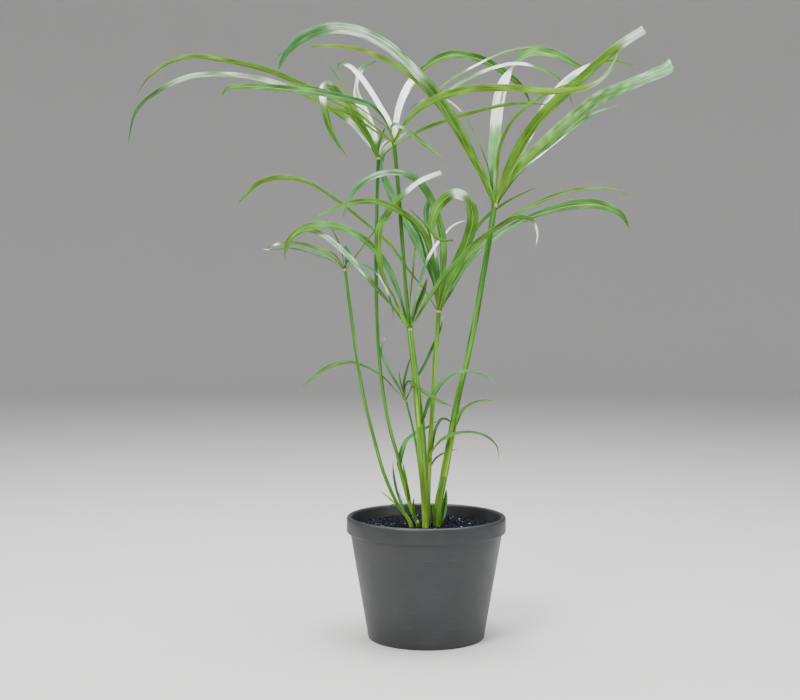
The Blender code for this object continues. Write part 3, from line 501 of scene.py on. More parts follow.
def read_route(text):
    """The pixels of a route."""
    return [tuple(float(value) for value in pixel.split(",")) for pixel in text.split()]


def at_even_steps(values, share):
    """A value at a share from 0 to 1 of a list whose entries are evenly spaced."""
    place = share * (len(values) - 1)
    index = min(int(place), len(values) - 2)
    rest = place - index
    return values[index] * (1 - rest) + values[index + 1] * rest


def shares_of(steps):
    """How far along each step's end lies, from 0 to 1, with the start first."""
    reach = [0.0]
    for step in steps:
        reach.append(reach[-1] + step)
    return [r / reach[-1] for r in reach]


def travelled(points):
    """How far along a chain each point lies, from 0 to 1."""
    return shares_of((Vector(b) - Vector(a)).length for a, b in zip(points, points[1:]))


def crowded(points):
    """As travelled, but a bend counts as extra length, so that points spread by it crowd where it bends."""
    steps = [b - a for a, b in zip(points, points[1:])]
    befores = [steps[0]] + steps
    return shares_of(s.length + BEND_LENGTH * before.angle(s, 0.0) for before, s in zip(befores, steps))


def with_depths(route, depths):
    """Route points in the object's frame. Depths are one a point, or evenly spaced along the route."""
    if len(depths) != len(route):
        depths = [at_even_steps(depths, share) for share in travelled(route)]
    return [view_point(*pixel, depth) for pixel, depth in zip(route, depths)]


def slopes_at(points):
    """Direction of travel at each point of a chain, weighted towards its shorter neighbouring span."""
    spans = [(b - a).length for a, b in zip(points, points[1:])]
    rates = [(b - a) / span for a, b, span in zip(points, points[1:], spans)]
    inner = [(r0 * s1 + r1 * s0) / (s0 + s1)
             for r0, r1, s0, s1 in zip(rates, rates[1:], spans, spans[1:])]
    return [rates[0]] + inner + [rates[-1]]


def smooth_chain(points, count):
    """count + 1 points along a smooth curve through the given ones, closer together where it bends."""
    slopes = slopes_at(points)
    fine = []
    for start, end, leave, arrive in zip(points, points[1:], slopes, slopes[1:]):
        span = (end - start).length
        for step in range(FINE_STEPS):
            t = step / FINE_STEPS
            fine.append(start * (2 * t ** 3 - 3 * t ** 2 + 1) + leave * span * (t ** 3 - 2 * t ** 2 + t)
                        + end * (3 * t ** 2 - 2 * t ** 3) + arrive * span * (t ** 3 - t ** 2))
    fine.append(points[-1].copy())
    shares = crowded(fine)
    even = []
    index = 0
    for k in range(count + 1):
        want = k / count
        while index < len(fine) - 2 and shares[index + 1] < want:
            index += 1
        span = shares[index + 1] - shares[index]
        even.append(fine[index].lerp(fine[index + 1], min(1.0, (want - shares[index]) / span)))
    return even


def length_of(points):
    """A chain's length."""
    return sum((b - a).length for a, b in zip(points, points[1:]))


def directions(points):
    """The direction of travel at each point of a chain."""
    ends = [points[0], *points, points[-1]]
    return [(after - before).normalized() for before, after in zip(ends, ends[2:])]


def smoothstep(x):
    """A soft step from 0 to 1 as x goes from 0 to 1."""
    x = min(1.0, max(0.0, x))
    return x * x * (3 - 2 * x)


def bands_at(tones, share, reach, count, seed, pale=NO_HIGHLIGHT):
    """Colours in bands across a piece at a share along it, each with its share of painted highlight as the
    fourth
    value: the tone of its root blended into that of its tip, streaked at random and whitened over its pale
    stretch, where the glare of the light is painted in."""
    root, tip = (Vector(COLOURS[letter]) for letter in tones)
    base = root.lerp(tip, smoothstep(share))
    start, end, most = pale
    within = most * smoothstep((share - start) / HIGHLIGHT_EDGE) * smoothstep((end - share) / HIGHLIGHT_EDGE)
    bands = []
    for band in range(count):
        streak = 2 ** (STREAK * wave(reach / STREAK_LENGTH, seed + STREAK_WAVE + band))
        # Painted highlight: over the pale stretch the bands are whitened, in streaks, as the glare of the
        # light
        white = within * (1 + HIGHLIGHT_STREAK * wave(reach / STREAK_LENGTH, seed + HIGHLIGHT_WAVE + band))
        bands.append((base * streak).lerp(Vector(COLOURS["w"]), min(1.0, max(0.0, white))))
    return bands


def band_at(bands, u):
    """The band at a place across a piece, from -1 at its left edge to 1 at its right edge."""
    spot = (u + 1) / 2 * len(bands)
    low = min(int(spot), len(bands) - 1)
    return (bands[low - 1] + bands[low]) / 2 if low and spot == low else bands[low]


def seed_of(name):
    """A steady number for a name."""
    return zlib.crc32(name.encode()) % 1000


def wave(x, seed):
    """A smooth wandering value about zero, the same each run."""
    return noise.noise(Vector((x, seed * WAVE_STRIDE, 0.5)))


def new_piece(name, vertices, faces, colours=(), places=(), smooth=True):
    """A mesh object at the origin, with a colour and a share of painted highlight a vertex and (across,
    along) as texture map.
    """
    mesh = bpy.data.meshes.new(name)
    mesh.from_pydata([tuple(v) for v in vertices], [], faces)
    if smooth:
        mesh.shade_smooth()
    piece = bpy.data.objects.new(name, mesh)
    bpy.context.scene.collection.objects.link(piece)
    if len(colours):
        layer = mesh.color_attributes.new("tint", "FLOAT_COLOR", "POINT")
        layer.data.foreach_set("color", np.array([tuple(c) for c in colours], np.float32).ravel())
    if len(places):
        layer = mesh.uv_layers.new(name="UVMap")
        index = np.zeros(len(mesh.loops), np.int32)
        mesh.loops.foreach_get("vertex_index", index)
        layer.data.foreach_set("uv", np.array(places, np.float32)[index].ravel())
    return piece


def place(piece, slot, finish, *nodes):
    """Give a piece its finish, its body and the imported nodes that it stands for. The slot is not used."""
    piece.data.materials.append(finish)
    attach(piece, "root")
    if nodes:
        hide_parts(*nodes)


def skin_faces(rings, around):
    """Quads between rings of points that all have the same count."""
    faces = []
    for a in range(0, (rings - 1) * around, around):
        for k in range(around):
            nxt = (k + 1) % around
            faces.append((a + k, a + nxt, a + around + nxt, a + around + k))
    return faces


def tube_faces(rings, around):
    """The quads between rings, and a face over each end."""
    last = (rings - 1) * around
    return [*skin_faces(rings, around), tuple(range(around))[::-1], tuple(range(last, last + around))]


def put(tree, socket, value):
    """Link a socket to another one, or set its own value."""
    if isinstance(value, bpy.types.NodeSocket):
        tree.links.new(value, socket)
    else:
        socket.default_value = value


def node(tree, kind, **inputs):
    """The first output of a shader node with some sockets set or linked. Keys are their names, with _ for a
    space."""
    made = tree.nodes.new(kind)
    for key, value in inputs.items():
        put(tree, made.inputs[key.replace("_", " ")], value)
    return made.outputs[0]


def maths(tree, operation, *values):
    """The result of one sum on values."""
    made = tree.nodes.new("ShaderNodeMath")
    made.operation = operation
    for socket, value in zip(made.inputs, values):
        put(tree, socket, value)
    return made.outputs[0]


def mixed(tree, factor, a, b, blend="MIX"):
    """A colour mixed from two."""
    made = tree.nodes.new("ShaderNodeMix")
    made.data_type = "RGBA"
    made.blend_type = blend
    for index, value in zip(MIX_SOCKETS, (factor, a, b)):
        put(tree, made.inputs[index], (*value, 1) if isinstance(value, tuple) else value)
    return made.outputs[2]


def ranged(tree, value, low, high, out_low=0.0, out_high=1.0):
    """A value carried from one range to another."""
    return node(tree, "ShaderNodeMapRange", Value=value, From_Min=low, From_Max=high, To_Min=out_low,
                To_Max=out_high)


def marked(tree, colour, tone, most, value, low, high, blend="MIX"):
    """A colour with another one over it, by up to a given share where a value passes from low to high."""
    return mixed(tree, ranged(tree, value, low, high, 0.0, most), colour, tone, blend)


def grain(tree, where, scale, detail, roughness=0.5):
    """A fine random pattern."""
    return node(tree, "ShaderNodeTexNoise", Vector=where, Scale=scale, Detail=detail, Roughness=roughness)


def stretched(tree, where, *scale):
    """A place with its axes scaled."""
    return node(tree, "ShaderNodeMapping", Vector=where, Scale=scale)


def streaks(tree, where, across, along, detail=3.0):
    """A noise drawn out along the piece."""
    return grain(tree, stretched(tree, where, across, along, 1), 1.0, detail, 0.55)


def new_finish(name):
    """A material, with the node tree to build its colour in and its shader."""
    made = bpy.data.materials.new(name)
    made.use_nodes = True
    return made, made.node_tree, made.node_tree.nodes["Principled BSDF"]


def painted_tint(tree):
    """The colour that is stored at the vertices, and its share of painted highlight."""
    painted = tree.nodes.new("ShaderNodeVertexColor")
    painted.layer_name = "tint"
    return painted.outputs[0], painted.outputs[1]


def texture_map(tree):
    """The texture map, and its coordinate across, from 0 to 1."""
    made = tree.nodes.new("ShaderNodeUVMap")
    made.uv_map = "UVMap"
    return made.outputs[0], node(tree, "ShaderNodeSeparateXYZ", Vector=made.outputs[0])


def object_place(tree):
    """The place in the object's frame."""
    return tree.nodes.new("ShaderNodeTexCoord").outputs["Object"]


def ribbed(tree, across, count, height, rough):
    """Even ribs across a piece on top of a noise."""
    ribs = maths(tree, "SINE", maths(tree, "MULTIPLY", across, 2 * math.pi * count))
    return maths(tree, "ADD", maths(tree, "MULTIPLY", ribs, height), rough)


def finish_off(tree, shader, colour, roughness, relief, strength, depth, **constants):
    """Give a shader its colour, roughness and relief, and constant values for its other sockets."""
    bump = node(tree, "ShaderNodeBump", Strength=strength, Distance=depth, Height=relief)
    for socket, value in (("Base Color", colour), ("Roughness", roughness), ("Normal", bump)):
        tree.links.new(value, shader.inputs[socket])
    for socket, value in constants.items():
        shader.inputs[socket.replace("_", " ")].default_value = value


def make_bract_finish():
    """Leaf tissue: the painted tint, fine parallel veins, a pale midrib, margins lightened as painted
    highlight, and a streaked white painted highlight where the vertices carry it."""
    finish, tree, shader = new_finish("bract")
    where, across = texture_map(tree)
    tint, painted_glare_share = painted_tint(tree)
    from_rib = maths(tree, "ABSOLUTE", maths(tree, "SUBTRACT", across, 0.5))
    vein_noise = streaks(tree, where, 34, 9)
    broad_noise = streaks(tree, where, 7, 22, 2.0)
    blotches = streaks(tree, where, 1.6, 60, 4.0)
    veins = ribbed(tree, across, VEINS, 0.12, vein_noise)
    colour = marked(tree, tint, VEIN_TONE, 0.15, veins, 0.35, 0.68)
    colour = marked(tree, colour, BROAD_SHADE, 0.6, broad_noise, 0.46, 0.70, "MULTIPLY")
    colour = marked(tree, colour, BLOTCH_TONE, 0.25, blotches, 0.55, 0.75)
    in_gutter = ranged(tree, from_rib, 0.14, 0.07, 0.0, 0.6)
    gutter = maths(tree, "MULTIPLY", ranged(tree, from_rib, 0.035, 0.06), in_gutter)
    colour = mixed(tree, gutter, colour, GUTTER_SHADE, "MULTIPLY")
    colour = marked(tree, colour, MIDRIB_TONE, 0.8, from_rib, 0.040, 0.024)
    # Painted highlight along the margins: the edges are lightened as glare
    colour = marked(tree, colour, EDGE_GLARE_TONE, 0.4, from_rib, 0.465, 0.495)
    # Painted highlight: where the vertices carry it, the colour is whitened in streaks and the surface made
    # a little smoother
    low = maths(tree, "MULTIPLY_ADD", painted_glare_share, -1.35, 1.05)
    painted_glare = ranged(tree, ranged(tree, vein_noise, 0.32, 0.68), low, maths(tree, "ADD", low, 0.28))
    gloss = maths(tree, "MULTIPLY_ADD", painted_glare, -0.10, ranged(tree, vein_noise, 0.3, 0.7, 0.52, 0.64))
    finish_off(tree, shader, mixed(tree, painted_glare, colour, PAINTED_GLARE_TONE), gloss, veins, 0.35, 0.12 * MM,
               Specular_IOR_Level=0.05, Subsurface_Weight=0.08, Subsurface_Radius=FLESH,
               Subsurface_Scale=1 * MM)
    return finish


def make_stem_finish():
    """Stem tissue: the painted tint, long fine ribs, faint mottling and a few brown flecks."""
    finish, tree, shader = new_finish("stem")
    where, across = texture_map(tree)
    tint = painted_tint(tree)[0]
    rib_noise = streaks(tree, where, 40, 6)
    ribs = ribbed(tree, across, STEM_RIBS, 0.10, rib_noise)
    mottle = streaks(tree, where, 3, 45, 4.0)
    spots = node(tree, "ShaderNodeTexVoronoi", Vector=stretched(tree, where, 5, 55, 1), Scale=1.0,
                 Randomness=1.0)
    colour = marked(tree, tint, STEM_RIB_SHADE, 0.5, ribs, 0.35, 0.65, "MULTIPLY")
    colour = marked(tree, colour, STEM_MOTTLE_TONE, 0.4, mottle, 0.52, 0.75)
    where_mottled = ranged(tree, mottle, 0.5, 0.6, 0.0, 0.7)
    fleck = maths(tree, "MULTIPLY", ranged(tree, spots, 0.10, 0.03), where_mottled)
    colour = mixed(tree, fleck, colour, FLECK_TONE)
    finish_off(tree, shader, colour, ranged(tree, rib_noise, 0.3, 0.7, 0.42, 0.56), ribs, 0.4, 0.12 * MM,
               Specular_IOR_Level=0.09, Subsurface_Weight=0.08, Subsurface_Radius=FLESH,
               Subsurface_Scale=1.2 * MM)
    return finish


def make_grain_finish():
    """Dark stone grains: the painted tint, with a speckle and glassy facets."""
    finish, tree, shader = new_finish("gravel")
    speckle = grain(tree, object_place(tree), 1400.0, 4.0)
    colour = marked(tree, painted_tint(tree)[0], SPECKLE_TONE, 0.4, speckle, 0.55, 0.75)
    finish_off(tree, shader, colour, ranged(tree, speckle, 0.3, 0.7, 0.4, 0.7), speckle, 0.4, 0.1 * MM,
               Specular_IOR_Level=0.14)
    return finish


def make_pot_finish():
    """Moulded charcoal plastic: fine grain, faint scuffs and a little dust."""
    finish, tree, shader = new_finish("pot")
    where = object_place(tree)
    fine = grain(tree, where, 2600.0, 2.0)
    cloud = grain(tree, where, 38.0, 5.0)
    scuff = grain(tree, stretched(tree, where, 60, 60, 700), 1.0, 3.0)
    colour = marked(tree, POT_TONE, DUST_TONE, 0.6, cloud, 0.4, 0.7)
    colour = marked(tree, colour, SCUFF_TONE, 0.3, scuff, 0.62, 0.75)
    relief = maths(tree, "ADD", fine, maths(tree, "MULTIPLY", scuff, 0.6))
    finish_off(tree, shader, colour, ranged(tree, cloud, 0.3, 0.7, 0.38, 0.55), relief, 0.25, 0.1 * MM)
    return finish


def half_width(share, width, form):
    """Half a blade's width at a share of its length."""
    grown = ROOT_SHARE + (1 - ROOT_SHARE) * smoothstep(share / FULL_WIDTH_AT)
    tapered = max(0.0, (share - form.taper) / (1 - form.taper))
    size = max(grown * (1 - tapered ** TAPER_POWER), form.blunt * smoothstep(share / ROOT_END)) * form.fuller
    narrower, start, end = form.late
    spot, by, over = form.pinch
    size *= 1 - narrower * (1 - smoothstep((share - start) / (end - start)))
    return width * size * (1 - by * math.exp(-((share - spot) / over) ** 2)) / 2


def bases_along(points):
    """The direction along a chain, the front view's flat direction across it, and the depth direction."""
    bases = []
    for point, along in zip(points, directions(points)):
        flat = (point - EYE).normalized().cross(along).normalized()
        bases.append((along, flat, along.cross(flat)))
    return bases


def turns_along(points, slot, wanted):
    """How far the blade is turned from facing the front view at each point."""
    reach = points[-1] - points[0]
    out_at_tip = Vector((reach.x, reach.y, 0)).normalized()
    most = math.acos(SHOWN_WIDTH)
    turns = []
    for (along, flat, deep), travel in zip(bases_along(points), travelled(points)):
        share = smoothstep(travel / TURN_IN_BY)
        out = (outwards(slot) * (1 - share) + out_at_tip * share).normalized()
        side = UP.cross(out)
        side = (side - along * side.dot(along)).normalized()
        natural = math.atan2(side.dot(deep), side.dot(flat))
        off = (natural - wanted + math.pi) % math.tau - math.pi
        held = max(-most, min(most, off))
        turns.append(off * (1 - share) + held * share)
    turns = list(np.unwrap(turns))
    for _ in range(2):
        evened = [(a + 2 * b + c) / 4 for a, b, c in zip(turns, turns[1:], turns[2:])]
        turns = [turns[0], *evened, turns[-1]]
    return turns


def outwards(slot):
    """The level direction from a stem's axis at a slot in degrees."""
    angle = math.radians(slot)
    return Vector((math.cos(angle), math.sin(angle), 0))


def section(half, thick, fold, ripples):
    """One section of a blade as (across, lift) pairs: its upper side from edge to edge, then its under side
    back."""
    upper, under = [], []
    for u in ACROSS:
        size = abs(u)
        lift = fold * half * size ** FOLD_POWER + ripples[0 if u < 0 else 1] * half * size * size
        deep = thick * (EDGE_THICKNESS + (1 - EDGE_THICKNESS) * (1 - size))
        deep += thick * RIB_THICKNESS * math.exp(-(u / RIB_REACH) ** 2)
        groove = GROOVE_DEPTH * thick * math.exp(-(u / GROOVE_REACH) ** 2)
        upper.append((u * half, lift + deep * ABOVE_MIDDLE - groove))
        under.append((u * half, lift - deep * (1 - ABOVE_MIDDLE)))
    return upper + under[1:-1][::-1]


def centre_at(chain, z):
    """A stem's centre at a height."""
    for a, b in zip(chain, chain[1:]):
        if a.z <= z <= b.z:
            return a.lerp(b, (z - a.z) / (b.z - a.z))
    return chain[-1].copy()


def blade_chain(entry, chain, top_radius):
    """A blade's coarse and fine smooth midrib, from its slot in the whorl or from the stem it is fused to.

    The fine one springs from closer to the stem's axis than the coarse one, so that the bases clasp each
    other.
    """
    whorl = chain[-1]
    route = read_route(entry.route)
    in_whorl = entry.tier in (OUTER, INNER)
    root = whorl if in_whorl else centre_at(chain, view_point(*route[0], 0).z)
    one_each = len(entry.depths) == len(route)
    points = with_depths(route, entry.depths if one_each else (root.y / MM, *entry.depths))
    out = outwards(entry.slot)
    drop = UP * COLLAR_DROP
    drawn_in = []
    if entry.tier == OUTER:
        ring = top_radius + RING_CLEARANCE
        points[0] = whorl + out * ring - drop
        points.insert(1, whorl + out * (ring + GAP) + drop)
        drawn_in = [whorl + out * top_radius * CLASP_SHARE - drop]
    elif entry.tier == INNER:
        points[0] = whorl + out * top_radius * INNER_SHARE + UP * INNER_RISE
    else:
        points[0] = root - drop + out * top_radius * INNER_SHARE
    length = length_of(points)
    count = min(MOST_SEGMENTS, max(FEWEST_SEGMENTS, round(length / SEGMENT_LENGTH)))
    coarse = smooth_chain(points, count)
    if drawn_in:
        points[:2] = drawn_in
    return coarse, smooth_chain(points, round(length / BLADE_STEP))


def make_blade(name, entry, chain, top_radius, finish, *nodes):
    """One thin keeled blade, closed all round, lofted along its route to a pointed or a torn tip."""
    form = entry.form
    coarse, points = blade_chain(entry, chain, top_radius)
    wanted = math.pi if entry.face == UPPER else 0.0
    shares = travelled(points)
    turns = np.interp(shares, travelled(coarse), turns_along(coarse, entry.slot, wanted))
    seed = seed_of(name)
    length = length_of(points)
    width = entry.width_mm * MM
    count = min(MOST_BANDS, max(1, round(width / BAND_WIDTH)))
    thick = min(BLADE_THICKNESS, THICKNESS_SHARE * width)
    warmth = WARMTH * wave(seed * WARMTH_STRIDE, WARMTH_WAVE)
    tone = Vector((1 + warmth, 1, 1 - warmth, 1))
    tip_colour, tip_share = form.dry
    around = 2 * len(ACROSS) - 2
    rings = len(points) if form.blunt else len(points) - 1
    vertices, colours, places = [], [], []
    for i, (along, flat, deep) in enumerate(bases_along(points)[:rings]):
        share = shares[i]
        reach = share * length
        angle = wanted + turns[i] + TWIST * wave(reach / TWIST_LENGTH, seed + TWIST_WAVE)
        across = flat * math.cos(angle) + deep * math.sin(angle)
        normal = along.cross(across)
        half = half_width(share, width, form)
        half *= 1 + EDGE_WANDER * wave(reach / EDGE_LENGTH, seed + EDGE_WAVE)
        fade = smoothstep(share / ROOT_END)
        fold = 2 * BLADE_FOLD * (FOLD_AT_ROOT + (FOLD_AT_TIP - FOLD_AT_ROOT) * fade)
        ripples = [RIPPLE * fade * wave(reach / RIPPLE_LENGTH, seed + side) for side in RIPPLE_WAVES]
        # Only the face that the front view sees gets the blade's painted highlight
        seen = bands_at(entry.tones, share, reach, count, seed, form.pale)
        unseen = bands_at(BACK_TONES[entry.face], share, reach, count, seed + BACK_WAVE)
        dry = 0.0 if form.blunt else smoothstep((share - 1 + tip_share) / tip_share * DRY_STEEPNESS)
        glow = 1 + GLOW * wave(share * GLOWS, seed + GLOW_WAVE)
        slimmed = min(1.0, THINNEST + half / (thick * FULL_THICKNESS_AT))
        ring = section(half, thick * slimmed, fold, ripples)
        for k, (x, lift) in enumerate(ring):
            at_torn_end = form.blunt and i == rings - 1
            torn = TORN_BY * wave(k * TORN_STRIDE, seed + TORN_WAVE) if at_torn_end else 0.0
            vertices.append(points[i] + across * x + normal * lift + along * torn)
            is_upper = k < len(ACROSS)
            bands = seen if is_upper == (entry.face == UPPER) else unseen
            colour = band_at(bands, -entry.face * x / half).lerp(Vector(COLOURS[tip_colour]), dry)
            colours.append([c * t * g for c, t, g in zip(colour, tone, (glow, glow, glow, 1))])
            places.append((0.5 + x / (2 * half), reach))
    last = (rings - 1) * around
    faces = [face[::-1] for face in skin_faces(rings, around)]
    faces.append(tuple(range(around)))
    if form.blunt:
        faces.append(tuple(range(last, last + around))[::-1])
    else:
        vertices.append(points[-1])
        colours.append(colours[-1])
        places.append((0.5, length))
        faces += [(last + (k + 1) % around, last + k, last + around) for k in range(around)]
    place(new_piece(name, vertices, faces, colours, places), "bract", finish, *nodes)


def stem_chain(stem, step):
    """Points up a stem, from its foot in the gravel to its whorl."""
    points = with_depths(read_route(stem.route), stem.depths)
    chain = [points[0] - UP * STEM_DEPTH_IN_GRAVEL] + points
    return smooth_chain(chain, max(FEWEST_STEM_STEPS, round(length_of(chain) / step)))


def radius_at(stem, share):
    """A stem's radius at a share of its length."""
    return at_even_steps(stem.radii_mm, share) * MM


def side_vectors(points):
    """Two directions square to a chain at each of its points, which don't twist along it."""
    frames = []
    side = Vector((1, 0, 0))
    for along in directions(points):
        side = (side - along * side.dot(along)).normalized()
        frames.append((side, along.cross(side)))
    return frames


def spokes(frame_at, sides):
    """Angles round a chain at one of its points, with the way out at each and its place across the map."""
    side, other = frame_at
    for k in range(sides):
        angle = math.tau * k / sides
        yield angle, side * math.cos(angle) + other * math.sin(angle), abs(2 * k / sides - 1)


def make_stem(shoot, stem, finish):
    """A faintly three-angled, finely ribbed stem."""
    points = stem_chain(stem, STEM_STEP)
    seed = seed_of(shoot)
    length = length_of(points)
    buried = STEM_DEPTH_IN_GRAVEL / length
    vertices, colours, places = [], [], []
    for point, share, frame_at in zip(points, travelled(points), side_vectors(points)):
        above = max(0.0, (share - buried) / (1 - buried))
        glow = 1 + STEM_GLOW * wave(share * STEM_GLOWS, seed)
        bands = bands_at(stem.tones, above, share * length / STEM_STRETCH, STEM_BANDS, seed)
        bands = [colour * glow for colour in bands]
        for angle, out, across in spokes(frame_at, STEM_SIDES):
            swell = CORNER_SWELL * math.cos(CORNERS * angle + seed)
            swell += RIB_SWELL * math.cos(BROAD_RIBS * angle)
            vertices.append(point + out * radius_at(stem, share) * (1 + swell))
            colours.append(band_at(bands, math.cos(angle)))
            places.append((across, share * length))
    piece = new_piece("stem." + shoot, vertices, tube_faces(len(points), STEM_SIDES), colours, places)
    place(piece, "stem", finish, "stem_" + shoot)


def lathe(name, profile, shade, centre=Vector(), axis=UP, sides=JOINT_SIDES):
    """A closed turned piece about an axis, from (radius, height) pairs that start and end on the axis.

    The shade is a colour, or a function that gives the colour of a row at an angle.
    """
    along = axis.normalized()
    side = Vector((1, 0, 0))
    side = (side - along * side.dot(along)).normalized()
    vertices, shades, places = [], [], []
    for row, (r, h) in enumerate(profile):
        at_end = row in (0, len(profile) - 1)
        around = [(0, Vector(), 0.5)] if at_end else spokes((side, along.cross(side)), sides)
        for angle, out, across in around:
            vertices.append(centre + along * h + out * r)
            shades.append(shade(row, angle) if callable(shade) else shade)
            places.append((across, h))
    last = len(vertices) - 1 - sides
    faces = [(0, 1 + (k + 1) % sides, 1 + k) for k in range(sides)]
    faces += [tuple(v + 1 for v in face) for face in skin_faces(len(profile) - 2, sides)]
    faces += [(last + k, last + (k + 1) % sides, last + sides) for k in range(sides)]
    return new_piece(name, vertices, faces, shades, places)


def make_crown(shoot, stem, chain, finish):
    """The joint at a stem's top: a cream band, and the green cup that the bracts spring from."""
    facing, spread, last_row = stem.collar
    profile = [(radius_at(stem, 1.0) * share, height * MM) for share, height in JOINT]

    def shade(row, angle):
        turned = abs((math.degrees(angle) - facing + 180) % 360 - 180)
        in_collar = FIRST_COLLAR_ROW <= row <= last_row and turned <= spread
        return COLOURS["c" if in_collar else JOINT_LOOKS[row]]

    place(lathe("crown." + shoot, profile, shade, chain[-1], chain[-1] - chain[-3]), "stem", finish)


def slant(angle, slot):
    """How far a leaf base's mouth lies below its highest point."""
    return MOUTH_SLANT * (0.5 - 0.5 * math.cos(angle - math.radians(slot)))


def make_sheath(name, stem, low, high, slot, swell_mm, redness, tones, finish):
    """A leaf base round a stem: a close sleeve whose mouth rises towards its slot, with a thin dry rim."""
    chain = stem_chain(stem, SHEATH_STEP)
    bottom, top = (view_point(PLANT_AXIS_PX, row, 0).z for row in (low, high))
    seed = seed_of(name)
    shares = travelled(chain)
    sides = side_vectors(chain)
    inside = [i for i, p in enumerate(chain) if bottom <= p.z <= top]
    vertices, colours, places = [], [], []
    for i in inside:
        grown = (i - inside[0]) / (len(inside) - 1)
        rim = smoothstep((grown - RIM_FROM) / (1 - RIM_FROM))
        bands = bands_at(tones, grown, chain[i].z / STEM_STRETCH, STEM_BANDS, seed)
        for angle, out, across in spokes(sides[i], STEM_SIDES):
            mouth = slant(angle, slot) * smoothstep((grown - MOUTH_FROM) / (1 - MOUTH_FROM))
            swell = swell_mm * MM * smoothstep(grown / SWOLLEN_BY)
            swell *= 1 + SWELL_WANDER * wave(angle + grown * SWELL_TURN, seed)
            vertices.append(chain[i] + out * (radius_at(stem, shares[i]) + swell) - UP * mouth)
            colours.append(band_at(bands, math.cos(angle)).lerp(Vector(COLOURS["r"]), redness * rim))
            places.append((across, shares[i]))
    i = inside[-1]
    for angle, out, across in spokes(sides[i], STEM_SIDES):
        drop = slant(angle, slot) + RIM_DROP
        vertices.append(chain[i] + out * radius_at(stem, shares[i]) * RIM_SHARE - UP * drop)
        colours.append(COLOURS["b" if redness else "f"])
        places.append((across, shares[i]))
    piece = new_piece(name, vertices, tube_faces(len(inside) + 1, STEM_SIDES), colours, places)
    place(piece, "stem", finish)


def arc(x, z, radius, start, end, steps=6):
    """Points of a profile round a centre, from one angle in degrees to another."""
    turns = [math.radians(start + (end - start) * k / steps) for k in range(steps + 1)]
    return [(x + radius * math.cos(t), z + radius * math.sin(t)) for t in turns]


def make_pot(finish):
    """The tapered pot with a rolled rim and soft edges."""
    roll = (POT_RIM_RADIUS - RIM_INNER_RADIUS) / 2
    profile = [
        (0, POT_FLOOR), (FLOOR_RADIUS - FLOOR_FILLET, POT_FLOOR),
        *arc(FLOOR_RADIUS - FLOOR_FILLET, POT_FLOOR + FLOOR_FILLET, FLOOR_FILLET, -90, 0),
        (SHOULDER_RADIUS, RIM_FOOT),
        *arc(RIM_INNER_RADIUS + roll, POT_HEIGHT - roll, roll, 180, 0, ROLL_STEPS),
        *arc(POT_RIM_RADIUS - RIM_EDGE, RIM_FOOT + RIM_EDGE, RIM_EDGE, 0, -90),
        (POT_TOP_RADIUS + RIM_STEP, RIM_FOOT),
        *arc(POT_BASE_RADIUS - BASE_EDGE, BASE_EDGE, BASE_EDGE, -10, -90),
        (0, 0),
    ]
    piece = lathe("pot.body", profile[::-1], POT_TINT, sides=POT_SIDES)
    piece.data.set_sharp_from_angle(angle=SHARP_FROM)
    place(piece, "pot", finish, "pot")


def inner_radius(z):
    """The pot's inner radius at a height below its rim."""
    if z > RIM_FOOT:
        share = (z - RIM_FOOT) / (POT_RIM_HEIGHT - POT_WALL)
        return SHOULDER_RADIUS * (1 - share) + RIM_INNER_RADIUS * share
    share = (z - POT_FLOOR) / (RIM_FOOT - POT_FLOOR)
    return FLOOR_RADIUS * (1 - share) + SHOULDER_RADIUS * share


def grain_colour(draw):
    """Near-black stone, with a few blue, white and pinkish grains painted as glints."""
    kind = draw.random()
    shade = draw.uniform(*GRAIN_SHADES)
    tone = next(tone for up_to, tone in GRAIN_TONES_AND_GLINTS if kind < up_to)
    return (*(Vector(tone) * shade), 0.0)


def grain_spots(draw, reach, feet):
    """Where grains lie: two jittered layers of staggered rows, the upper one sparse, clear of the stems."""
    row_step = GRAIN_SPACING * ROW_SHARE
    for layer in range(2):
        for row in range(int(2 * reach / row_step) + 1):
            for col in range(int(2 * reach / GRAIN_SPACING) + 1):
                x = -reach + (col + 0.5 * (row % 2)) * GRAIN_SPACING
                y = -reach + row * row_step + layer * 0.5 * GRAIN_SPACING
                x += draw.uniform(-GRAIN_JITTER, GRAIN_JITTER) * GRAIN_SPACING
                y += draw.uniform(-GRAIN_JITTER, GRAIN_JITTER) * GRAIN_SPACING
                left_out = draw.random() > UPPER_LAYER_SHARE and layer == 1
                by_stem = any(math.hypot(x - f.x, y - f.y) < r + STEM_CLEARANCE for f, r in feet)
                if math.hypot(x, y) <= reach and not left_out and not by_stem:
                    yield x, y, layer


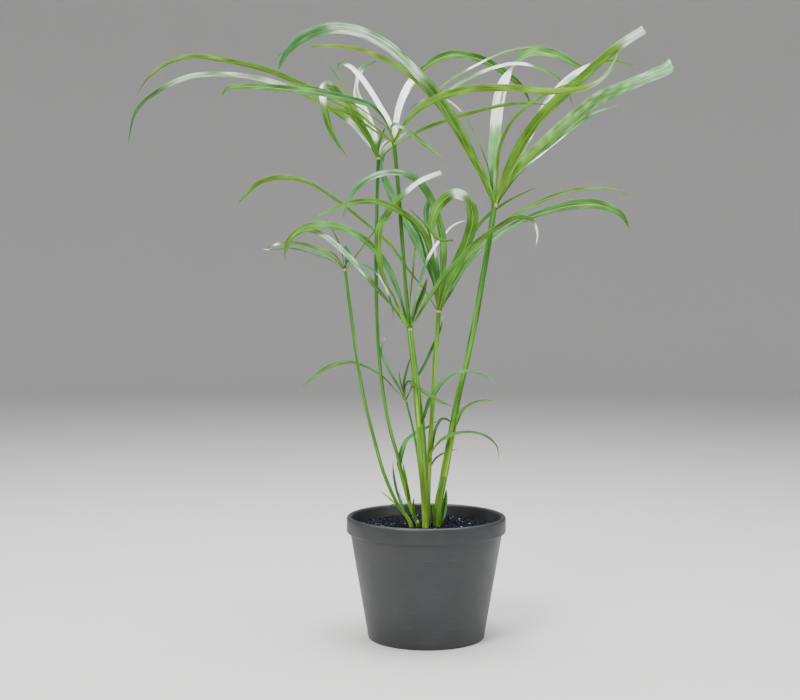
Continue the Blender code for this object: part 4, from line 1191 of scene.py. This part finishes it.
def make_gravel(stems, finish):
    """A fill with a bed of small angular grains on it, parted round the stems."""
    draw = np.random.default_rng(SEED)
    fill_z = GRAVEL_Z - FILL_DROP
    floor = POT_FLOOR + GAP
    wall = [(inner_radius(z) - FILL_CLEARANCE, z) for z in (floor, RIM_FOOT, fill_z)]
    fill = lathe("gravel.fill", [(0, floor), *wall, (0, fill_z)], FILL_TINT, sides=FILL_SIDES)
    place(fill, "gravel", finish, "gravel")
    ball = bmesh.new()
    bmesh.ops.create_icosphere(ball, subdivisions=1, radius=1)
    corners = np.array([v.co for v in ball.verts])
    sides = np.array([[v.index for v in f.verts] for f in ball.faces])
    ball.free()
    feet = [(centre_at(stem_chain(stem, STEM_STEP), GRAVEL_Z), radius_at(stem, 0.0)) for stem in stems]
    reach = inner_radius(GRAVEL_Z) - FILL_CLEARANCE - WALL_CLEARANCE
    vertices, faces, colours = [], [], []
    for x, y, layer in list(grain_spots(draw, reach, feet)):
        size = GRAIN_RADIUS * draw.uniform(*GRAIN_SIZES, 3)
        shape = corners * size * draw.uniform(*GRAIN_DENTS, (len(corners), 1))
        angle = draw.uniform(0, math.tau)
        turn = np.array(Matrix.Rotation(angle, 3, Vector(draw.normal(size=3)).normalized()))
        ripple = BED_RIPPLE * (noise.noise(Vector((x, y, 0)) * RIPPLES_A_METRE) - RIPPLE_MIDDLE)
        z = GRAVEL_Z - GRAIN_DROP + layer * LAYER_HEIGHT + ripple
        z += draw.uniform(-GRAIN_WANDER, GRAIN_WANDER) * MM
        faces.extend((sides + len(vertices)).tolist())
        vertices.extend(shape @ turn.T + np.array((x, y, z)))
        colours.extend([grain_colour(draw)] * len(corners))
    place(new_piece("gravel.grains", vertices, faces, colours, smooth=False), "gravel", finish)


def make_plant():
    """Every shoot's stem, joint, bracts, leaflets and dead threads, and then the leaf bases."""
    bract = make_bract_finish()
    stalk = make_stem_finish()
    for shoot, stem in STEMS.items():
        chain = stem_chain(stem, STEM_STEP)
        make_stem(shoot, stem, stalk)
        make_crown(shoot, stem, chain, stalk)
        numbers = Counter()
        for entry in (Blade(*row) for row in BLADES[shoot]):
            kind = {FUSED: "leaflet", THREAD: "thread"}.get(entry.tier, "bract")
            numbers[kind] += 1
            nodes = {"bract": [f"bract_{shoot}_{numbers[kind]}"], "leaflet": ["stem_" + shoot]}.get(kind, [])
            make_blade(f"{kind}.{shoot}.{numbers[kind]}", entry, chain, radius_at(stem, 1.0), bract, *nodes)
    for number, (shoot, *where) in enumerate(SHEATHS, 1):
        make_sheath(f"sheath.{shoot}.{number}", STEMS[shoot], *where, stalk)


def make_stage():
    """A pale floor that sweeps up all round."""
    flat, bend, top, sides = 2.4, 1.2, 3.6, 96
    profile = [(flat * k / 4, 0.0) for k in range(1, 5)]
    profile += [(flat + x, bend + z) for x, z in arc(0, 0, bend, -90, 0, 16)[1:]]
    profile.append((flat + bend, top))
    vertices = [(0, 0, 0)]
    for r, z in profile:
        for k in range(sides):
            angle = math.tau * k / sides
            vertices.append((r * math.cos(angle), r * math.sin(angle), z))
    faces = [(0, 1 + k, 1 + (k + 1) % sides) for k in range(sides)]
    faces += [tuple(v + 1 for v in face[::-1]) for face in skin_faces(len(profile), sides)]
    stage = new_piece("studio_floor", vertices, faces)
    finish, _, shader = new_finish("floor")
    shader.inputs["Base Color"].default_value = FLOOR_TONE
    shader.inputs["Roughness"].default_value = FLOOR_ROUGHNESS
    stage.data.materials.append(finish)


def area_light(name, where, target, size, power, colour=(1, 1, 1)):
    """A rectangular lamp that faces a target."""
    data = bpy.data.lights.new(name, "AREA")
    data.shape = "RECTANGLE"
    data.size, data.size_y = size
    data.energy = power
    data.color = colour
    lamp = bpy.data.objects.new(name, data)
    bpy.context.scene.collection.objects.link(lamp)
    lamp.location = where
    lamp.rotation_euler = (Vector(target) - Vector(where)).to_track_quat("-Z", "Y").to_euler()


def make_lights():
    """A warm key light, a soft top light, a faint fill and a pale sky."""
    area_light("key", (-0.7, -1.0, 1.3), (0, 0, 0.3), (0.7, 0.7), 34, (1.0, 0.98, 0.95))
    area_light("top", (0.05, 0.1, 1.35), (0, 0, 0.3), (1.3, 0.9), 38)
    area_light("fill", (1.2, -0.9, 0.7), (0, 0, 0.25), (0.8, 0.8), 7, (0.95, 0.98, 1.0))
    world = bpy.data.worlds.new("studio")
    bpy.context.scene.world = world
    world.use_nodes = True
    sky = world.node_tree.nodes["Background"]
    sky.inputs["Color"].default_value = SKY_TONE
    sky.inputs["Strength"].default_value = SKY_STRENGTH


def make_camera():
    """The front view's own eye, tilted down a little so that the whole pot shows."""
    data = bpy.data.cameras.new("camera")
    data.sensor_width = SENSOR
    data.lens = LENS
    camera = bpy.data.objects.new("camera", data)
    bpy.context.scene.collection.objects.link(camera)
    camera.location = EYE
    camera.rotation_euler = (math.radians(90 - TILT_DOWN), 0, 0)
    bpy.context.scene.camera = camera


make_camera()
make_plant()
make_gravel(STEMS.values(), make_grain_finish())
make_pot(make_pot_finish())
make_stage()
make_lights()
